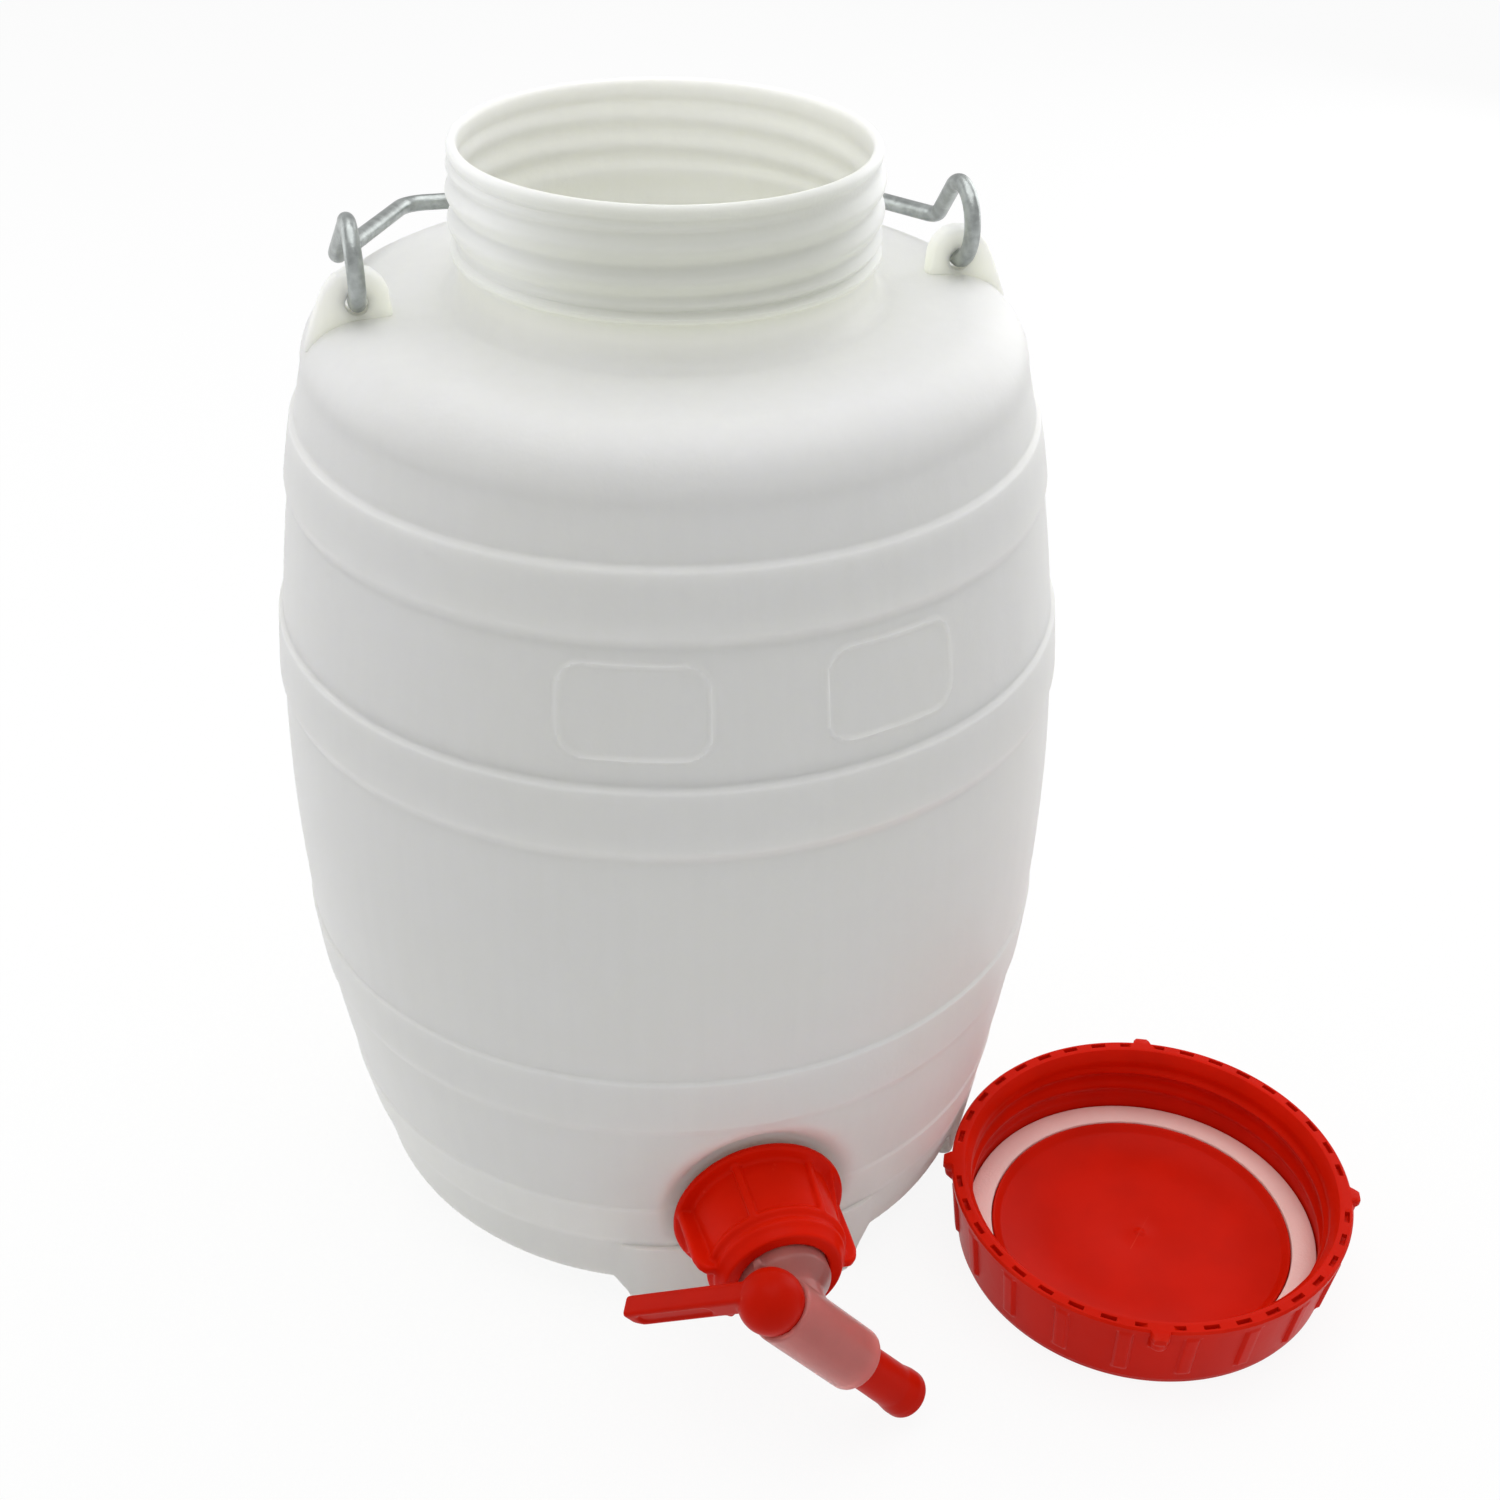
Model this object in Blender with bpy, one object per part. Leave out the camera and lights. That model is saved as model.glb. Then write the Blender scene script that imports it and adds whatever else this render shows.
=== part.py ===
"""A wide-mouth plastic barrel of about ten litres with a wire bail, a screw lid taken off and a tap.

The origin is the centre of the base panel's flat underside, on the barrel's axis. +Z is up, the tap
points along -Y, and the bail hangs in an ear on each side, at +X and -X. Heights count from the base
panel's underside, so the feet reach below zero. Lengths are in metres."""

from math import acos, atan2, ceil, cos, hypot, pi, radians, sin

import bmesh
import bpy
from mathutils import Matrix, Vector

MM = 0.001

# Clearances and cuts
GAP = 0.3 * MM
OVERRUN = 2.0 * MM
SHARP_ANGLE = radians(30.0)

# Neck, which the widths of the shoulder and the wall add to
NECK_RADIUS = 55.0 * MM
NECK_WALL = 2.0 * MM
NECK_BORE_RADIUS = NECK_RADIUS - NECK_WALL
NECK_FILLET = 6.0 * MM
NECK_FILLET_STEPS = 3

# Shoulder and barrel wall
SHOULDER_HEIGHT = 285.0 * MM
SHOULDER_WIDTH = 18.7 * MM
SHOULDER_CROWN = 1.2 * MM
CORNER_WIDTH = 18.4 * MM
CORNER_DROP = 14.3 * MM
CORNER_HEIGHT = SHOULDER_HEIGHT - CORNER_DROP
CORNER_RADIUS = NECK_RADIUS + NECK_FILLET + SHOULDER_WIDTH + CORNER_WIDTH
CORNER_STEPS = 5
WALL = 2.2 * MM
BELLY_SAG = 17.4 * MM
BELLY_RADIUS = CORNER_RADIUS + BELLY_SAG
BELLY_HEIGHT_SHARE = 0.495
BELLY_HEIGHT = BELLY_HEIGHT_SHARE * CORNER_HEIGHT
BELLY_BOW = (CORNER_HEIGHT - BELLY_HEIGHT) ** 2 / BELLY_SAG
HOOP_PROUD = 1.3 * MM
HOOP_LEDGE = 1.6 * MM
HOOP_SPAN_SHARES = ((0.0925, 0.17), (0.2955, 0.384), (0.6575, 0.7425), (0.872, 0.951))
HOOP_SPANS = [(low * CORNER_HEIGHT, high * CORNER_HEIGHT) for low, high in HOOP_SPAN_SHARES]
BARREL_COLUMNS = 48
CAVITY_STEPS = 6

# Barrel base
PANEL_INSET = 37.5 * MM
PANEL_RADIUS = BELLY_RADIUS - PANEL_INSET
BASE_CORNER_WIDTH = 12.0 * MM
BASE_CORNER_HEIGHT = 10.0 * MM
BASE_CORNER_STEPS = 4
FOOT_DROP = 11.0 * MM
FOOT_TOP_INSET = 9.7 * MM
FOOT_TOP_RADIUS = BELLY_RADIUS - FOOT_TOP_INSET
FOOT_INSET = 14.5 * MM
FOOT_RADIUS = BELLY_RADIUS - FOOT_INSET
FOOT_EDGE = 3.0 * MM
FOOT_WIDTH = 13.0 * MM
FOOT_INNER_RADIUS = FOOT_RADIUS - FOOT_WIDTH
FOOT_FADE = radians(5.0)
FOOT_SPANS = (
    (radians(0.0), radians(34.0)),
    (radians(90.0), radians(20.0)),
    (radians(153.0), radians(14.5)),
    (radians(270.0), radians(22.2)),
)

# Collar, thread and rim of the neck
COLLAR_RISE = 13.5 * MM
COLLAR_HEIGHT = SHOULDER_HEIGHT + COLLAR_RISE
COLLAR_PROUD = 1.6 * MM
COLLAR_HALF = 1.5 * MM
THREAD_PITCH = 7.65 * MM
THREAD_DEPTH = 1.9 * MM
THREAD_RISE = 2.5 * MM
THREAD_START = COLLAR_HEIGHT + THREAD_RISE
THREAD_LENGTH = 20.5 * MM
THREAD_END = THREAD_START + THREAD_LENGTH
THREAD_PHASE = radians(-60.0)
THREAD_ROWS_PER_TURN = 4
RIM_RISE = 4.5 * MM
RIM_HEIGHT = THREAD_END + RIM_RISE
RIM_PROUD = 0.8 * MM
RIM_DEPTH = 3.6 * MM
RIM_EDGE = 0.6 * MM

# Ears
EAR_INSET = 16.1 * MM
EAR_PLACE = CORNER_RADIUS - EAR_INSET
EAR_THICKNESS = 5.0 * MM
EAR_HOLE_RISE = 4.0 * MM
EAR_HOLE_HEIGHT = SHOULDER_HEIGHT + EAR_HOLE_RISE
EAR_HOLE_RADIUS = 3.0 * MM
EAR_HALF_WIDTH = 8.8 * MM
EAR_TOP = 9.0 * MM
EAR_BOTTOM = 12.0 * MM
EAR_OUTLINE_SHARES = (
    (1.7, -1.0),
    (1.1, 0.1),
    (0.7, 0.7),
    (0.25, 1.0),
    (-0.4, 1.0),
    (-0.8, 0.6),
    (-1.0, 0.1),
    (-1.0, -1.0),
)
EAR_HOLE_COLUMNS = 24

# Bail
WIRE_RADIUS = 2.3 * MM
HOOK_RADIUS = 10.0 * MM
HOOK_TIP_ANGLE = radians(300.0)
HOOK_STEP = radians(15.0)
BAIL_CORNER_OUT = 2.5 * MM
BAIL_CORNER_PLACE = EAR_PLACE + BAIL_CORNER_OUT
BAIL_CORNER_BACK = 24.0 * MM
BAIL_CORNER_DROP = 6.5 * MM
BAIL_BAR_INSET = 24.5 * MM
BAIL_BAR_HALF = BAIL_CORNER_PLACE - BAIL_BAR_INSET
BAIL_BAR_FORWARD = 4.0 * MM
BAIL_BAR_BACK = EAR_PLACE - BAIL_BAR_FORWARD
BAIL_BEND = 9.0 * MM
BAIL_BEND_STEPS = 4

# Tap axis and the seat moulded for it
TAP_HEIGHT = 41.5 * MM
SEAT_INSET = 11.7 * MM
SEAT_DISTANCE = BELLY_RADIUS - SEAT_INSET
SEAT_RADIUS = 28.0 * MM
SEAT_DEPTH = 16.0 * MM
BOSS_LENGTH = 20.4 * MM
BOSS_RADIUS = 17.0 * MM
BOSS_BORE_RADIUS = 14.0 * MM
BOSS_THREAD_START = 4.2 * MM
BOSS_TURNS = 2.5
TAP_PITCH = 4.0 * MM
TAP_THREAD_DEPTH = 1.1 * MM
TAP_THREAD_CLEARANCE = 0.45 * MM
TAP_ROWS_PER_TURN = 4
TAP_COLUMNS = 36

# Tap seal and the flange that it presses on
TAP_SEAL_THICKNESS = 1.8 * MM
TAP_SEAL_OUTER = 17.6 * MM
TAP_SEAL_INNER = 14.4 * MM
TAP_FLANGE_RADIUS = 17.8 * MM
TAP_FLANGE_THICKNESS = 2.8 * MM

# Tap nut
NUT_BACK_GAP = 2.2 * MM
NUT_FLANGE_RADIUS = 26.4 * MM
NUT_FLANGE_THICKNESS = 2.4 * MM
NUT_SKIRT_BACK_RADIUS = 21.6 * MM
NUT_SKIRT_FRONT_RADIUS = 20.4 * MM
NUT_BEAD_PROUD = 0.9 * MM
NUT_BEAD_WIDTH = 2.6 * MM
NUT_NOSE_RADIUS = 18.0 * MM
NUT_NOSE_LENGTH = 6.0 * MM
NUT_HOLE_CLEARANCE = 0.4 * MM
NUT_TURNS = 3.0
NUT_RIB_ANGLES = (radians(50.0), radians(110.0), radians(230.0), radians(290.0))
NUT_RIB_WIDTH = 2.6 * MM
NUT_RIB_PROUD = 2.2 * MM
NUT_WING_ANGLES = (radians(-12.0), radians(168.0))
NUT_WING_RADIUS = 25.6 * MM
NUT_WING_TIP_RADIUS = 22.6 * MM
NUT_WING_WIDTH = 3.2 * MM
NUT_WING_LENGTH = 25.6 * MM
NUT_WING_SLOPE = 5.4 * MM
NUT_WING_SPREAD = radians(40.0)
NUT_WING_WEB = 1.6 * MM

# Tap body, round the place where its inlet and its valve barrel cross
CROSS_REACH = 27.8 * MM
CROSS_DISTANCE = SEAT_DISTANCE + BOSS_LENGTH + CROSS_REACH
SWIVEL = radians(38.0)
STUB_RADIUS = 13.6 * MM
STUB_LENGTH = 13.0 * MM
STUB_TAPER = 4.4 * MM
STUB_END_RADIUS = 9.3 * MM
INLET_BORE_RADIUS = 6.0 * MM
VALVE_RADIUS = 9.7 * MM
VALVE_TOP = 9.6 * MM
VALVE_DROP = 28.0 * MM
VALVE_BORE_RADIUS = 8.0 * MM
STUB_KEY_ANGLE = radians(52.0)
STUB_KEY_PROUD = 1.8 * MM
STUB_KEY_WIDTH = 3.0 * MM
STUB_KEY_LENGTH = 3.0 * MM
BODY_COLUMNS = 32

# Spindle with its dome, lever and nozzle
SPINDLE_CLEARANCE = 0.3 * MM
DOME_RADIUS = 9.6 * MM
DOME_HEIGHT = 14.4 * MM
DOME_STEPS = 6
NOZZLE_RADIUS = 6.7 * MM
NOZZLE_TIP_RADIUS = 7.5 * MM
NOZZLE_DROP = 57.0 * MM
NOZZLE_TIP_LENGTH = 9.0 * MM
NOZZLE_ROUND = 2.4 * MM
NOZZLE_BORE_RADIUS = 4.2 * MM
PORT_RADIUS = 4.4 * MM
LEVER_ANGLE = radians(149.0)
LEVER_REACH = 47.5 * MM
LEVER_WIDTH = 6.6 * MM
LEVER_HEIGHT = 8.2 * MM
LEVER_TOP = 23.0 * MM
LEVER_ROOT = 4.0 * MM
LEVER_TIP_CUT = 2.5 * MM
LEVER_EDGE = 0.9 * MM
LEVER_RECESS_START = 17.0 * MM
LEVER_RECESS_END = 44.0 * MM
LEVER_RECESS_HEIGHT = 4.6 * MM
LEVER_RECESS_DEPTH = 0.8 * MM
NUB_RADIUS = 1.4 * MM
NUB_PLACE = 13.5 * MM
NUB_STEPS = 6

# Lid, lying upside down on the floor beside the barrel
LID_TURN = radians(68.1)
LID_HEIGHT = 30.0 * MM
LID_CLEARANCE = 1.3 * MM
LID_BORE_RADIUS = NECK_RADIUS + THREAD_DEPTH + LID_CLEARANCE
LID_WALL = 2.3 * MM
LID_TOP_RADIUS = LID_BORE_RADIUS + LID_WALL
LID_FLARE = 3.7 * MM
LID_RIM_RADIUS = LID_TOP_RADIUS + LID_FLARE
LID_TOP_ROUND = 2.6 * MM
LID_TOP_THICKNESS = 2.6 * MM
LID_DISC_INSET = 6.0 * MM
LID_DISC_RADIUS = NECK_BORE_RADIUS - LID_DISC_INSET
LID_DISC_RISE = 1.6 * MM
LID_MOUTH_FLARE = 2.2 * MM
LID_MOUTH_RADIUS = LID_BORE_RADIUS + LID_MOUTH_FLARE
LID_MOUTH_LENGTH = 3.0 * MM
LID_THREAD_DEPTH = 2.0 * MM
LID_THREAD_START = 9.0 * MM
LID_THREAD_END = 24.0 * MM
LID_RIBS = 20
LID_RIB_PROUD = 0.9 * MM
LID_RIB_START = 4.5 * MM
LID_COLUMNS = 60
LUG_COUNT = 4
LUG_PROUD = 4.0 * MM
LUG_WIDTH = 5.0 * MM
LUG_HEIGHT = 9.0 * MM
LID_ANGLE = radians(-38.35)
LID_ASIDE = 1.1 * MM
LID_DISTANCE = FOOT_RADIUS + LID_RIM_RADIUS + LUG_PROUD + LID_ASIDE
LID_PLACE_X = LID_DISTANCE * cos(LID_ANGLE)
LID_PLACE_Y = LID_DISTANCE * sin(LID_ANGLE)

# Lid seal
SEAL_THICKNESS = 2.8 * MM
SEAL_DISC_GAP = 2.8 * MM
SEAL_INNER_RADIUS = LID_DISC_RADIUS + SEAL_DISC_GAP
SEAL_OUTER_CLEARANCE = 0.3 * MM


def clear_scene():
    for obj in list(bpy.data.objects):
        bpy.data.objects.remove(obj, do_unlink=True)


def make_material(name, colour, roughness, metallic=0.0):
    material = bpy.data.materials.new(name)
    material.use_nodes = True
    shader = material.node_tree.nodes["Principled BSDF"]
    shader.inputs["Base Color"].default_value = (*colour, 1.0)
    shader.inputs["Roughness"].default_value = roughness
    shader.inputs["Metallic"].default_value = metallic
    return material


def natural_polyethylene():
    return make_material("natural_polyethylene", (0.72, 0.74, 0.70), 0.42)


def red_plastic():
    return make_material("red_plastic", (0.55, 0.012, 0.005), 0.34)


def clear_polypropylene():
    return make_material("clear_polypropylene", (0.62, 0.42, 0.40), 0.30)


def soft_seal():
    return make_material("soft_seal", (0.70, 0.46, 0.43), 0.60)


def zinc_wire():
    return make_material("zinc_wire", (0.45, 0.48, 0.47), 0.32, 1.0)


def add_object(name, mesh_builder, material=None):
    """A new object whose mesh is filled from a bmesh, with its normals facing out."""
    mesh = bpy.data.meshes.new(name)
    bmesh.ops.recalc_face_normals(mesh_builder, faces=mesh_builder.faces[:])
    mesh_builder.to_mesh(mesh)
    mesh_builder.free()
    mesh.shade_smooth()
    mesh.set_sharp_from_angle(angle=SHARP_ANGLE)
    obj = bpy.data.objects.new(name, mesh)
    bpy.context.scene.collection.objects.link(obj)
    if material:
        mesh.materials.append(material)
    return obj


def as_helper(obj):
    obj.hide_render = True
    obj.display_type = "WIRE"
    return obj


def combine(obj, other, operation, solver="EXACT"):
    modifier = obj.modifiers.new(other.name, "BOOLEAN")
    modifier.operation = operation
    modifier.solver = solver
    modifier.object = as_helper(other)


def loft(name, rows, material=None, closed=False):
    """A closed skin over rows of points, where a row of one point is a tip. With closed set, it is a ring."""
    builder = bmesh.new()
    made = [[builder.verts.new(point) for point in row] for row in rows]
    pairs = list(zip(made, made[1:]))
    if closed:
        pairs.append((made[-1], made[0]))
    for upper, lower in pairs:
        for j in range(max(len(upper), len(lower))):
            corners = (upper, j), (upper, j + 1), (lower, j + 1), (lower, j)
            face = []
            for row, index in corners:
                vertex = row[index % len(row)]
                if vertex not in face:
                    face.append(vertex)
            builder.faces.new(face)
    if not closed:
        for row in (made[0], made[-1]):
            if len(row) > 1:
                builder.faces.new(row)
    return add_object(name, builder, material)


def circle_row(radius, height, columns):
    """One row of a turned shape. The radius may be a number or a function of the angle."""
    angles = [2 * pi * j / columns for j in range(columns)]
    radii = [radius(angle) if callable(radius) else radius for angle in angles]
    return [(r * cos(a), r * sin(a), height) for r, a in zip(radii, angles)]


def turned(name, outline, columns, material=None, closed=False):
    """A turned solid from (radius, height) points, where a radius of zero is a tip on the axis."""
    rows = []
    for radius, height in outline:
        tip = not callable(radius) and radius == 0
        rows.append([(0, 0, height)] if tip else circle_row(radius, height, columns))
    return loft(name, rows, material, closed)


def bore(name, radius, low, high, columns):
    """A plain round bar, or the cutter for a plain round hole."""
    return turned(name, ((0, low), (radius, low), (radius, high), (0, high)), columns)


def prism(name, outline, thickness, material=None):
    """An (x, z) outline made solid, half of its thickness to each side of y = 0."""
    rows = [[(x, side * thickness / 2, z) for x, z in outline] for side in (-1, 1)]
    return loft(name, rows, material)


def block(name, low, high):
    outline = ((low[0], low[2]), (high[0], low[2]), (high[0], high[2]), (low[0], high[2]))
    obj = prism(name, outline, high[1] - low[1])
    obj.data.transform(Matrix.Translation((0, (low[1] + high[1]) / 2, 0)))
    return obj


def hull(name, points):
    builder = bmesh.new()
    for point in points:
        builder.verts.new(point)
    bmesh.ops.convex_hull(builder, input=builder.verts[:])
    return add_object(name, builder)


def quarter(steps):
    """(cosine, sine) pairs from 0 to 90 degrees."""
    return [(cos(pi / 2 * k / steps), sin(pi / 2 * k / steps)) for k in range(steps + 1)]


def ridge(height, angle, pitch, phase):
    """The height of a right-hand screw thread, from 0 at its root to 1 at its crest."""
    turn = height / pitch - (angle - phase) / (2 * pi)
    return 0.5 + 0.5 * cos(2 * pi * turn)


def faded(value, start, end, length):
    """From 0 outside a span to 1 inside it, over a length at each end."""
    return max(0.0, min(1.0, (value - start) / length, (end - value) / length))


def belly_radius(height):
    return BELLY_RADIUS - (height - BELLY_HEIGHT) ** 2 / BELLY_BOW


def foot_share(angle):
    """1 on a foot and 0 between the feet."""
    share = 0.0
    for centre, half in FOOT_SPANS:
        away = abs((angle - centre + pi) % (2 * pi) - pi)
        share = max(share, min(1.0, max(0.0, (half + FOOT_FADE / 2 - away) / FOOT_FADE)))
    return share


def blended_row(between, foot):
    """A row that follows one (radius, height) point between the feet and another one on them."""
    row = []
    for j in range(BARREL_COLUMNS):
        angle = 2 * pi * j / BARREL_COLUMNS
        share = foot_share(angle)
        radius = between[0] + (foot[0] - between[0]) * share
        height = between[1] + (foot[1] - between[1]) * share
        row.append((radius * cos(angle), radius * sin(angle), height))
    return row


def base_rows(inset):
    """The barrel's base from its panel out to the lowest hoop, or the cavity's when inset by the wall."""
    hoop_foot = HOOP_SPANS[0][0]
    wall = belly_radius(BASE_CORNER_HEIGHT) - inset
    width = BASE_CORNER_WIDTH - inset
    height = BASE_CORNER_HEIGHT - inset
    edge = FOOT_EDGE - inset
    drop = inset - FOOT_DROP
    rows = [blended_row((PANEL_RADIUS + inset, inset), (PANEL_RADIUS + inset, inset))]
    rows.append(blended_row(((PANEL_RADIUS + wall - width) / 2, inset), (FOOT_INNER_RADIUS + inset, drop)))
    for across, up in quarter(BASE_CORNER_STEPS):
        between = (wall - width * (1 - up), BASE_CORNER_HEIGHT - height * across)
        foot = (FOOT_RADIUS - inset - edge * (1 - up), drop + edge * (1 - across))
        rows.append(blended_row(between, foot))
    wall = belly_radius(hoop_foot) - inset
    rows.append(blended_row((wall, hoop_foot), (FOOT_TOP_RADIUS - inset, hoop_foot)))
    return rows


def shoulder_outline(inset):
    """(radius, height) points from the top of the wall, round the corner and in to the neck."""
    outer = belly_radius(CORNER_HEIGHT)
    inner = outer - CORNER_WIDTH
    points = []
    for across, up in quarter(CORNER_STEPS):
        radius = inner + (CORNER_WIDTH - inset) * across
        height = CORNER_HEIGHT + (SHOULDER_HEIGHT - CORNER_HEIGHT - inset) * up
        points.append((radius, height))
    return points


def neck_outline():
    """The hollow fillet between the shoulder and the neck."""
    level = SHOULDER_HEIGHT + SHOULDER_CROWN + NECK_FILLET
    centre = NECK_RADIUS + NECK_FILLET
    steps = quarter(NECK_FILLET_STEPS)
    return [(centre - NECK_FILLET * up, level - NECK_FILLET * across) for across, up in steps]


def neck_radius(height):
    """The neck's radius at a height, as a function of the angle."""
    bead = max(0.0, 1 - ((height - COLLAR_HEIGHT) / COLLAR_HALF) ** 2)
    share = faded(height, THREAD_START, THREAD_END, THREAD_PITCH / THREAD_ROWS_PER_TURN)

    def at(angle):
        thread = share * THREAD_DEPTH * ridge(height - THREAD_START, angle, THREAD_PITCH, THREAD_PHASE)
        return NECK_RADIUS + COLLAR_PROUD * bead + thread

    return at


def spaced(start, end, step):
    """Heights from start to end, about a step apart."""
    count = ceil((end - start) / step)
    return [start + (end - start) * k / count for k in range(count + 1)]


def wall_outline():
    """(radius, height) points up the wall and its hoops, from just above the lowest hoop's foot."""
    points = [(BELLY_RADIUS, BELLY_HEIGHT)]
    for low, high in HOOP_SPANS:
        foot = low + HOOP_LEDGE
        head = high - HOOP_LEDGE
        points += [(belly_radius(low), low), (belly_radius(foot) + HOOP_PROUD, foot)]
        points += [(belly_radius(head) + HOOP_PROUD, head), (belly_radius(high), high)]
    points.sort(key=lambda point: point[1])
    return points[1:]


def barrel_outer():
    """The barrel's outer shape, solid, from the base panel up to the rim."""
    rows = [[(0, 0, 0)]] + base_rows(0)
    for radius, height in wall_outline() + shoulder_outline(0) + neck_outline():
        rows.append(circle_row(radius, height, BARREL_COLUMNS))
    for height in (COLLAR_HEIGHT - COLLAR_HALF, COLLAR_HEIGHT, COLLAR_HEIGHT + COLLAR_HALF):
        rows.append(circle_row(neck_radius(height), height, BARREL_COLUMNS))
    for height in spaced(THREAD_START, THREAD_END, THREAD_PITCH / THREAD_ROWS_PER_TURN):
        rows.append(circle_row(neck_radius(height), height, BARREL_COLUMNS))
    rim = NECK_RADIUS + RIM_PROUD
    for radius, height in (
        (rim, RIM_HEIGHT - RIM_DEPTH),
        (rim, RIM_HEIGHT - RIM_EDGE),
        (rim - RIM_EDGE, RIM_HEIGHT),
    ):
        rows.append(circle_row(radius, height, BARREL_COLUMNS))
    return loft("barrel", rows, natural_polyethylene())


def barrel_cavity():
    """The space inside the barrel, which runs out through the neck."""
    rows = base_rows(WALL)
    rows.insert(0, [(0, 0, WALL)])
    low = HOOP_SPANS[0][1]
    high = HOOP_SPANS[-1][1]
    for height in spaced(low, high, (high - low) / CAVITY_STEPS):
        rows.append(circle_row(belly_radius(height) - WALL, height, BARREL_COLUMNS))
    for radius, height in shoulder_outline(WALL):
        rows.append(circle_row(radius, height, BARREL_COLUMNS))
    level = SHOULDER_HEIGHT + SHOULDER_CROWN - WALL
    rows.append(circle_row(NECK_BORE_RADIUS + NECK_FILLET, level, BARREL_COLUMNS))
    rows.append(circle_row(NECK_BORE_RADIUS, level + NECK_FILLET, BARREL_COLUMNS))
    rows.append(circle_row(NECK_BORE_RADIUS, RIM_HEIGHT + OVERRUN, BARREL_COLUMNS))
    return loft("cavity", rows)


def face_out(obj, distance):
    """Stands a turned shape on the tap's axis, its own +Z along -Y, a distance out from the barrel's axis."""
    obj.rotation_euler = (pi / 2, 0, 0)
    obj.location = (0, -distance, TAP_HEIGHT)
    return obj


def seat_cutter(name, inset):
    """The flat round seat with sloping sides that the barrel's front has for the tap nut."""
    outline = (
        (0, 0),
        (SEAT_RADIUS + inset / 2, 0),
        (SEAT_RADIUS + inset / 2 + SEAT_DEPTH, SEAT_DEPTH),
        (0, SEAT_DEPTH),
    )
    return face_out(turned(name, outline, TAP_COLUMNS), SEAT_DISTANCE - inset)


def boss_radius(height):
    """The radius of the boss's thread at a distance out from its seat, as a function of the angle."""
    end = BOSS_THREAD_START + BOSS_TURNS * TAP_PITCH
    share = faded(height, BOSS_THREAD_START, end, TAP_PITCH / TAP_ROWS_PER_TURN)

    def at(angle):
        return BOSS_RADIUS + share * TAP_THREAD_DEPTH * ridge(height, angle, TAP_PITCH, 0)

    return at


def thread_heights(start, turns, pitch, rows):
    """Heights along a thread, with the same number of rows in each turn."""
    return [start + pitch * k / rows for k in range(round(turns * rows) + 1)]


def tap_boss():
    heights = thread_heights(BOSS_THREAD_START, BOSS_TURNS, TAP_PITCH, TAP_ROWS_PER_TURN)
    outline = [(0, -WALL / 2), (BOSS_RADIUS, -WALL / 2)]
    outline += [(boss_radius(height), height) for height in heights]
    outline += [(BOSS_RADIUS, BOSS_LENGTH), (0, BOSS_LENGTH)]
    return face_out(turned("tap_boss", outline, TAP_COLUMNS), SEAT_DISTANCE)


def ear(side):
    outline = []
    for across, up in EAR_OUTLINE_SHARES:
        x = side * (EAR_PLACE + across * EAR_HALF_WIDTH)
        z = EAR_HOLE_HEIGHT + up * (EAR_TOP if up > 0 else EAR_BOTTOM)
        outline.append((x, z))
    return prism("ear", outline, EAR_THICKNESS)


def ear_hole(side):
    hole = bore("ear_hole", EAR_HOLE_RADIUS, -EAR_THICKNESS, EAR_THICKNESS, EAR_HOLE_COLUMNS)
    hole.rotation_euler = (pi / 2, 0, 0)
    hole.location = (side * EAR_PLACE, 0, EAR_HOLE_HEIGHT)
    return hole


def make_barrel():
    barrel = barrel_outer()
    combine(barrel, seat_cutter("seat", 0), "DIFFERENCE", "MANIFOLD")
    combine(barrel, tap_boss(), "UNION", "MANIFOLD")
    for side in (-1, 1):
        combine(barrel, ear(side), "UNION", "MANIFOLD")
    cavity = barrel_cavity()
    combine(cavity, seat_cutter("seat_inside", WALL), "DIFFERENCE", "MANIFOLD")
    combine(barrel, cavity, "DIFFERENCE", "MANIFOLD")
    reach = BOSS_LENGTH + OVERRUN
    boss_bore = bore("boss_bore", BOSS_BORE_RADIUS, -reach, reach, TAP_COLUMNS)
    combine(barrel, face_out(boss_bore, SEAT_DISTANCE), "DIFFERENCE", "MANIFOLD")
    for side in (-1, 1):
        combine(barrel, ear_hole(side), "DIFFERENCE", "MANIFOLD")


def shoulder_height(radius):
    """The shoulder's height at a radius between its corner and the neck's fillet."""
    inner = belly_radius(CORNER_HEIGHT) - CORNER_WIDTH
    fillet = NECK_RADIUS + NECK_FILLET
    return SHOULDER_HEIGHT + SHOULDER_CROWN * max(0.0, (inner - radius) / (inner - fillet))


def rounded_corner(before, corner, after, radius, steps):
    """Points along an arc that rounds a corner of a path."""
    back = (before - corner).normalized()
    on = (after - corner).normalized()
    half = back.angle(on) / 2
    centre = corner + (back + on).normalized() * (radius / sin(half))
    start = corner + back * (radius * cos(half) / sin(half)) - centre
    end = corner + on * (radius * cos(half) / sin(half)) - centre
    return [centre + start.lerp(end, k / steps).normalized() * radius for k in range(steps + 1)]


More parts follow.
